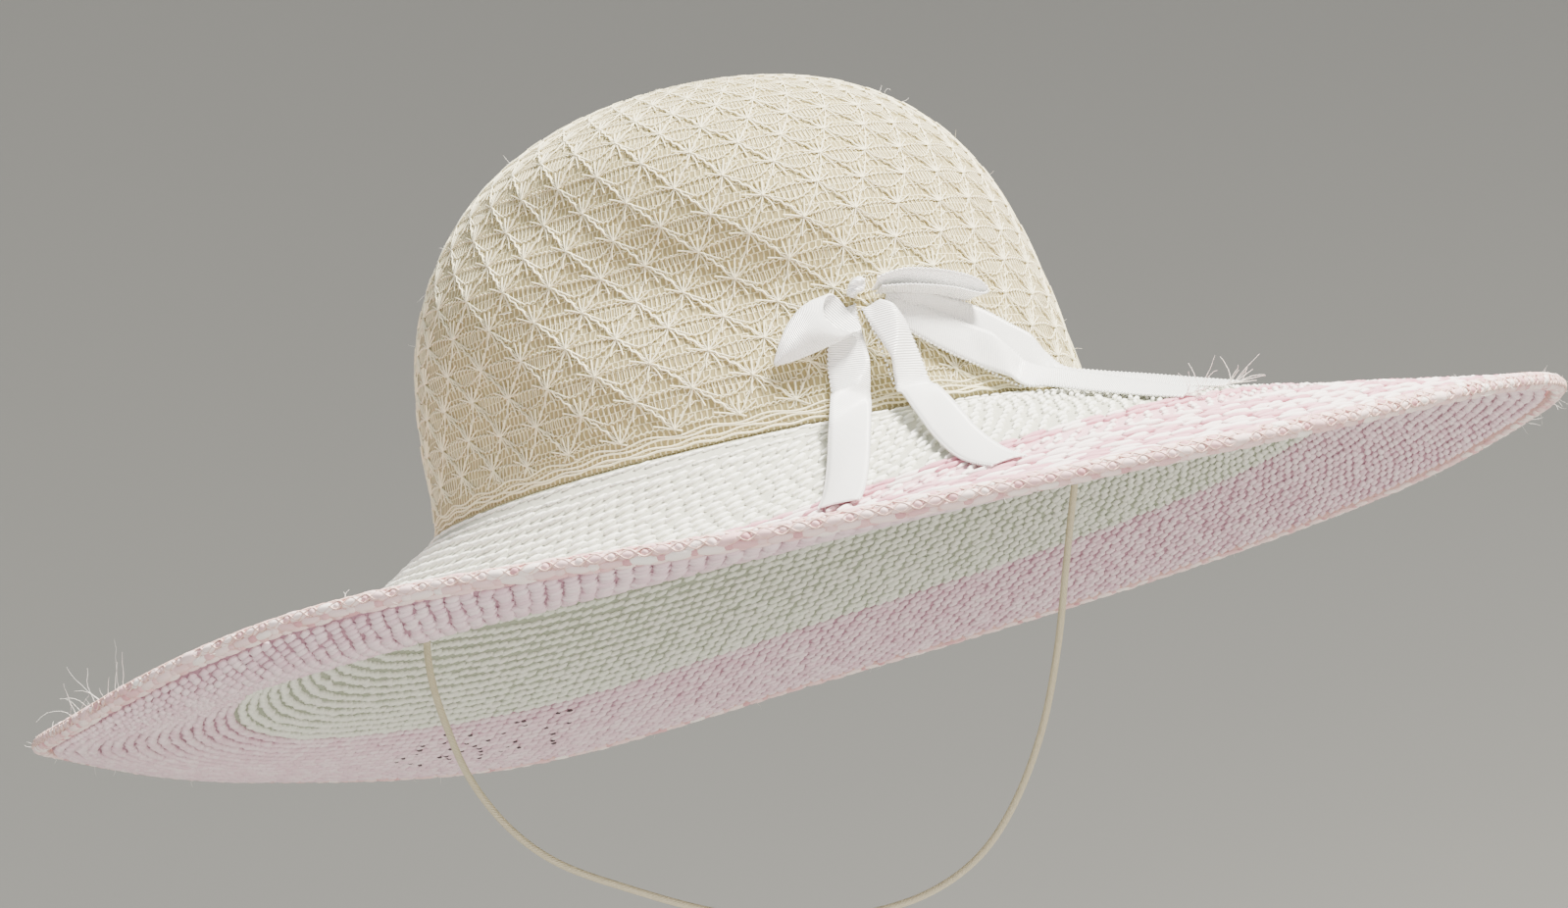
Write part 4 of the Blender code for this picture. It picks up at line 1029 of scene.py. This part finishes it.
TAIL_LEFT = (
    # across, up, out in ribbon widths, turn_deg, tilt_deg, width_share
    (-0.33, -0.42, 0.12, 12, 0, 0.50), (-0.60, -1.05, 0.12, 8, 0, 0.85), (-0.80, -1.80, 0.13, 4, 0, 1),
    (-0.93, -2.45, 0.18, 2, 0, 1), (-1.08, -3.00, 0.36, 4, -4, 1), (-1.32, -3.70, 0.50, -4, -4, 1),
    (-1.72, -4.90, 0.42, -14, 0, 1), (-2.14, -6.40, 0.26, -18, 0, 1), (-2.50, -8.00, 0.17, -20, 0, 1),
    (-2.74, -9.20, 0.14, -24, 0, 1),
)
TAIL_RIGHT = (
    (0.13, -0.62, 0.50, 10, -6, 0.45), (0.28, -1.00, 0.56, 18, -6, 0.75), (0.42, -1.55, 0.54, 24, -4, 1),
    (0.50, -2.30, 0.46, 16, 0, 1), (0.52, -3.00, 0.48, 8, 0, 1), (0.36, -3.80, 0.58, 0, 0, 1),
    (0.0, -5.20, 0.46, -10, 0, 1), (-0.38, -7.00, 0.28, -12, 0, 1), (-0.62, -8.80, 0.18, -8, 0, 1),
    (-0.70, -10.40, 0.14, 0, 0, 0.85),
)
STREAMER_FRONT = (
    (0.74, -0.62, 0.25, -125, 0, 0.55), (1.27, -0.99, 0.26, -122, 0, 0.78), (2.15, -1.50, 0.26, -118, 0, 1),
    (3.00, -1.98, 0.27, -120, 0, 1), (3.70, -2.52, 0.34, -128, -8, 1), (4.10, -3.05, 0.46, -140, -18, 1),
    (4.22, -3.90, 0.44, -156, -24, 1), (4.02, -5.20, 0.34, -172, -19, 1), (3.72, -6.80, 0.25, -176, -12, 1),
    (3.48, -8.40, 0.18, -178, -6, 0.95),
)
STREAMER_BACK = (
    (0.80, -0.22, 0.10, -116, 0, 0.55), (1.40, -0.52, 0.10, -114, 0, 0.80), (2.45, -0.95, 0.11, -112, 0, 1),
    (3.65, -1.42, 0.11, -114, 0, 1), (4.75, -1.95, 0.12, -118, 0, 1), (5.55, -2.50, 0.20, -128, 0, 1),
    (5.98, -3.05, 0.38, -142, -14, 1), (6.06, -3.95, 0.38, -162, -20, 1), (5.86, -5.20, 0.30, -174, -16, 1),
    (5.62, -6.60, 0.22, -178, -10, 1), (5.44, -7.70, 0.17, -180, -5, 0.95),
)
LOOP_RIGHT_BAND = (
    (0.46, -0.02, 0.52, 90, 76, 0.56), (1.10, 0.04, 0.52, 84, 75, 0.78), (2.00, -0.10, 0.50, 76, 75, 0.82),
    (2.90, -0.30, 0.46, 72, 76, 0.76), (3.36, -0.48, 0.42, 40, 80, 0.66), (3.38, -0.58, 0.42, -30, 82, 0.64),
    (3.06, -0.62, 0.44, -80, 84, 0.70), (2.20, -0.42, 0.48, -100, 84, 0.74),
    (1.20, -0.26, 0.50, -98, 86, 0.68),
    (0.52, -0.20, 0.50, -96, 88, 0.52),
)
# The woven edges carry tiny loops of thread, 1.2 mm apart, which show as white dots.
PICOT_PITCH = 0.0012
picot_stitch = stitch_tree("picot stitch", satin_finish)
picots = []
for piece_name, node, table, bulge, held, creases in (
        ("ribbon_tail_left", "tail_left", TAIL_LEFT, 0.0004, "draped", ((0.0245, -0.0080, 0.0034, 0.0110),)),
        ("ribbon_tail_right", "tail_right", TAIL_RIGHT, 0.0005, "draped",
         ((0.0085, -0.0055, 0.0032, 0.0090),)),
        ("ribbon_streamer_front", "streamer_front", STREAMER_FRONT, 0.0003, "draped",
         ((0.0330, 0.0040, 0.0020, 0.0080),)),
        ("ribbon_streamer_back", "streamer_back", STREAMER_BACK, 0.0003, "draped",
         ((0.0500, 0.0030, 0.0012, 0.0080),)),
        ("ribbon_loop_right", "bow_loop_right", LOOP_RIGHT_BAND, 0.0002, "folded", ())):
    left, right = ribbon_edges(table)
    strip, length = ribbon_strip(piece_name, left, right, bulge, 0.00015, creases)
    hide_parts(node)
    for edge in (left, right):
        dots = even_path(edge, int(path_length(edge) / PICOT_PITCH))
        along = np.gradient(dots, axis=0)
        outward = hat_normal(np.arctan2(dots[:, 1], dots[:, 0]), np.full(len(dots), 0.01))
        picots.append((dots, along, outward, np.full((len(dots), 3), 0.0008), np.zeros(len(dots))))
parts = [np.concatenate([row[k] for row in picots]) for k in range(5)]
picot_edges = grow("ribbon_picots", stitch_points("ribbon_picots", *parts), picot_stitch,
                   {"Stitch Sides": 5, "Stitch Rings": 3})

# The left loop: the ribbon is folded back to a point on the left, and its open mouth faces the right.
LOOP_WALL = 0.0005
LOOP_MOUTH_CUT = 0.30
LOOP_SIDES = 36
LOOP_SECTIONS = (
    # across, up, out, half_height, half_depth in ribbon widths
    (-2.60, -1.60, 0.26, 0.05, 0.05), (-2.22, -1.38, 0.36, 0.30, 0.14), (-1.78, -1.14, 0.44, 0.50, 0.22),
    (-1.30, -0.93, 0.52, 0.62, 0.30), (-0.86, -0.77, 0.56, 0.66, 0.33), (-0.40, -0.62, 0.56, 0.62, 0.31),
)
sections = smooth_path(LOOP_SECTIONS, 8) * RIBBON_WIDTH
centres = hat_place(sections[:, 0], sections[:, 1], sections[:, 2])
normals = hat_normal(KNOT_AZIMUTH + sections[:, 0] / CROWN_HALF_WIDTH,
                     CROWN_HEIGHT * KNOT_HEIGHT_SHARE + sections[:, 1])
axis = centres[-1] - centres[0]
loop_length = np.linalg.norm(axis)
axis /= loop_length
depth_way = normals - axis * (normals @ axis)[:, None]
depth_way /= np.linalg.norm(depth_way, axis=1)[:, None]
height_way = np.cross(depth_way, axis)
angle = np.arange(LOOP_SIDES) * 2 * math.pi / LOOP_SIDES
near = 0.5 + 0.5 * np.cos(angle)
along = ((centres - centres[0]) @ axis / loop_length)[:, None]
back = (loop_length * along ** 2 * LOOP_MOUTH_CUT * near ** 2)[..., None] * axis
walls = []
for wall in (0.0, LOOP_WALL):
    pleat = 1.0 + 0.10 * (1.0 - along) * np.cos(5 * angle + 1.0)
    depth = np.maximum(sections[:, 4] - wall, 0.0002)[:, None] * np.cos(angle) * pleat
    height = np.maximum(sections[:, 3] - wall, 0.0002)[:, None] * np.sin(angle) * pleat
    walls.append(centres[:, None] - back + depth_way[:, None] * depth[..., None]
                 + height_way[:, None] * height[..., None])
loop_uv = [[(10.0 * k / LOOP_SIDES * 2, 1000 * loop_length * a[0]) for k in range(LOOP_SIDES + 1)]
           for a in along]
loop_left = closed_wall("ribbon_loop_left", walls[0], walls[1], loop_uv, loop_uv, [satin_finish])
face_outwards(loop_left)
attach(loop_left, "root")
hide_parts("bow_loop_left")

# The knot: a short twist of the same ribbon, drawn tight over the middle of the bow.
knot_place = hat_place(np.array(0.0), np.array(0.0), np.array(0.0038))
knot_out = hat_normal(np.array(KNOT_AZIMUTH), np.array(CROWN_HEIGHT * KNOT_HEIGHT_SHARE))
sideways = np.array((-math.sin(KNOT_AZIMUTH), math.cos(KNOT_AZIMUTH), 0.0))
sideways -= knot_out * (sideways @ knot_out)
sideways /= np.linalg.norm(sideways)
upward = np.cross(knot_out, sideways)
length_way = sideways * math.cos(math.radians(35.0)) + upward * math.sin(math.radians(35.0))
height_way = np.cross(knot_out, length_way)
twist_u, twist_v = np.meshgrid(np.linspace(0.0, 2 * math.pi, 41), np.linspace(0.0, math.pi, 25)[1:-1])
pleat = 1.0 + 0.16 * np.sin(4 * twist_u + 2.6 * np.cos(twist_v) * 1.4)
spread = np.sin(twist_v) * pleat
knot_grid = (knot_place + length_way * (0.0031 * np.cos(twist_v))[..., None]
             + height_way * (0.0018 * spread * np.sin(twist_u))[..., None]
             + knot_out * (0.0030 * spread * np.cos(twist_u))[..., None])
knot_ends = [knot_place + length_way * 0.0031, knot_place - length_way * 0.0031]
vertices = list(knot_grid[:, :-1].reshape(-1, 3)) + knot_ends
faces, uvs = [], []
for r in range(22):
    for c in range(40):
        faces.append((r * 40 + c, r * 40 + (c + 1) % 40, (r + 1) * 40 + (c + 1) % 40, (r + 1) * 40 + c))
        uvs += [(c * 0.5, r * 0.3), (c * 0.5 + 0.5, r * 0.3), (c * 0.5 + 0.5, r * 0.3 + 0.3),
                (c * 0.5, r * 0.3 + 0.3)]
for c in range(40):
    faces += [(920, (c + 1) % 40, c), (921, 880 + c, 880 + (c + 1) % 40)]
    uvs += [(0.0, 0.0)] * 6
bow_knot = link_mesh("ribbon_knot", vertices, faces, satin_finish, uvs)
face_outwards(bow_knot)
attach(bow_knot, "root")
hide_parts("bow_knot")

# Loose fibres: worn cotton hairs stand off the crown, the rim and the brim, and the cut ends of the long
# ribbon tails are frayed into a few white threads.
fibre_finish, tree, shader = new_material("loose cotton fibre", 0.80)
shader.inputs["Base Color"].default_value = linear_colour("F4F0EA")
fibre_yarn = yarn_tree("loose fibre", fibre_finish)
FIBRE_POINTS = 7
CROWN_HAIRS = 150
RIM_HAIRS = 170
CLUSTER_HAIRS = 14


def fibres(roots, outward, lengths, curl, radius):
    """Short curved hairs from their roots, as guide points, edges and thickness."""
    points, edges, thickness = [], [], []
    for number, (root, way, length) in enumerate(zip(roots, outward, lengths)):
        way = way + random.normal(0.0, 0.35, 3)
        way /= np.linalg.norm(way)
        bend = random.normal(0.0, curl, 3)
        at = np.array(root, float)
        for step in range(FIBRE_POINTS):
            points.append(at.copy())
            thickness.append(radius * (1.0 - 0.10 * step))
            if step:
                edges.append((number * FIBRE_POINTS + step - 1, number * FIBRE_POINTS + step))
            way = way + bend / (FIBRE_POINTS - 1) + random.normal(0.0, curl / 8, 3)
            way /= np.linalg.norm(way)
            at = at + way * length / (FIBRE_POINTS - 1)
    return np.array(points), np.array(edges), np.array(thickness)


azimuth = random.uniform(-math.pi, math.pi, CROWN_HAIRS)
share = random.uniform(0.05, 0.98, CROWN_HAIRS)
crown_roots = crown_place(azimuth, share, np.full(CROWN_HAIRS, 0.0003))
crown_out = surface_normals(crown_surface, azimuth, share, 1.0)
azimuth = np.concatenate([random.uniform(-math.pi, math.pi, RIM_HAIRS),
                          np.radians(random.uniform(-150.0, -139.0, CLUSTER_HAIRS)),
                          np.radians(random.uniform(-8.0, 8.0, CLUSTER_HAIRS))])
at, reach, normal, around = rim_frame(azimuth)
tilt = random.uniform(-1.2, 1.5, len(azimuth))[:, None]
rim_out = reach * np.cos(tilt) + normal * np.sin(tilt)
cluster = slice(RIM_HAIRS, RIM_HAIRS + CLUSTER_HAIRS)
rim_out[cluster] = normal[cluster] * 0.9 + reach[cluster] * 0.4
rim_roots = at + rim_out * 0.0018
lengths = np.concatenate([
    random.uniform(0.0012, 0.0042, CROWN_HAIRS), random.uniform(0.001, 0.004, RIM_HAIRS),
    random.uniform(0.005, 0.013, CLUSTER_HAIRS), random.uniform(0.003, 0.007, CLUSTER_HAIRS)])
fuzz = grow("loose_fibres", guide_mesh("loose_fibres", *fibres(
    np.concatenate([crown_roots, rim_roots]), np.concatenate([crown_out, rim_out]), lengths, 1.3, 0.00006)),
    fibre_yarn, {"Yarn Thickness": 1.0, "Yarn Sides": 3})

frayed_roots, frayed_out, frayed_lengths = [], [], []
for table in (STREAMER_FRONT, STREAMER_BACK):
    left, right = ribbon_edges(table)
    for share in random.uniform(0.0, 1.0, 11):
        frayed_roots.append(left[-1] * (1 - share) + right[-1] * share)
        ahead = left[-1] - left[-4]
        frayed_out.append(ahead / np.linalg.norm(ahead) + np.array((0.2, 0.0, random.uniform(0.3, 1.3))))
        frayed_lengths.append(random.uniform(0.004, 0.011))
frayed = grow("frayed_ribbon_threads", guide_mesh("frayed_ribbon_threads", *fibres(
    frayed_roots, frayed_out, frayed_lengths, 0.8, 0.00011)), fibre_yarn,
    {"Yarn Thickness": 1.0, "Yarn Sides": 4})

# Studio: a plain pale floor that rises smoothly into a wall all round, and large soft lights.
FLOOR_LEVEL = -0.45
FLOOR_FLAT = 1.5
FLOOR_REACH = 4.2
FLOOR_RISE = 2.6
floor_finish, tree, shader = new_material("pale matt studio paper", 0.95)
shader.inputs["Base Color"].default_value = linear_colour("9A9995")
shader.inputs["Specular IOR Level"].default_value = 0.1
floor_points, floor_faces = [(0.0, 0.0, FLOOR_LEVEL)], []
floor_rings = [(0.5 * FLOOR_FLAT, 0.0), (FLOOR_FLAT, 0.0)] + [
    (FLOOR_FLAT + (FLOOR_REACH - FLOOR_FLAT) * math.sin(step * math.pi / 24),
     FLOOR_RISE * (1.0 - math.cos(step * math.pi / 24))) for step in range(1, 13)]
for radius, rise in floor_rings:
    floor_points += [(radius * math.cos(k * math.pi / 32), radius * math.sin(k * math.pi / 32),
                      FLOOR_LEVEL + rise)
                     for k in range(64)]
for k in range(64):
    floor_faces.append((0, 1 + k, 1 + (k + 1) % 64))
    for ring in range(len(floor_rings) - 1):
        a, b = 1 + ring * 64, 1 + (ring + 1) * 64
        floor_faces.append((a + k, b + k, b + (k + 1) % 64, a + (k + 1) % 64))
floor = link_mesh("studio_floor", floor_points, floor_faces, floor_finish)

world = bpy.data.worlds.new("studio light")
bpy.context.scene.world = world
world.use_nodes = True
world.node_tree.nodes["Background"].inputs["Color"].default_value = linear_colour("F3F5F8")
world.node_tree.nodes["Background"].inputs["Strength"].default_value = 0.85


def soft_light(name, place, energy, size, colour):
    """A large square light that faces the hat."""
    light = bpy.data.lights.new(name, "AREA")
    light.energy = energy
    light.size = size
    light.color = linear_colour(colour)[:3]
    made = bpy.data.objects.new(name, light)
    bpy.context.collection.objects.link(made)
    place = Vector(place)
    made.matrix_world = Matrix.Translation(place) @ place.to_track_quat("Z", "Y").to_matrix().to_4x4()
    return made


soft_light("key light", (0.95, -0.45, 1.45), 205.0, 0.5, "FFFBF0")
soft_light("fill light", (-1.5, -1.3, 0.5), 9.0, 1.4, "F4F8FF")
soft_light("low light", (0.1, -1.5, -0.33), 11.0, 0.8, "FFFFFF")
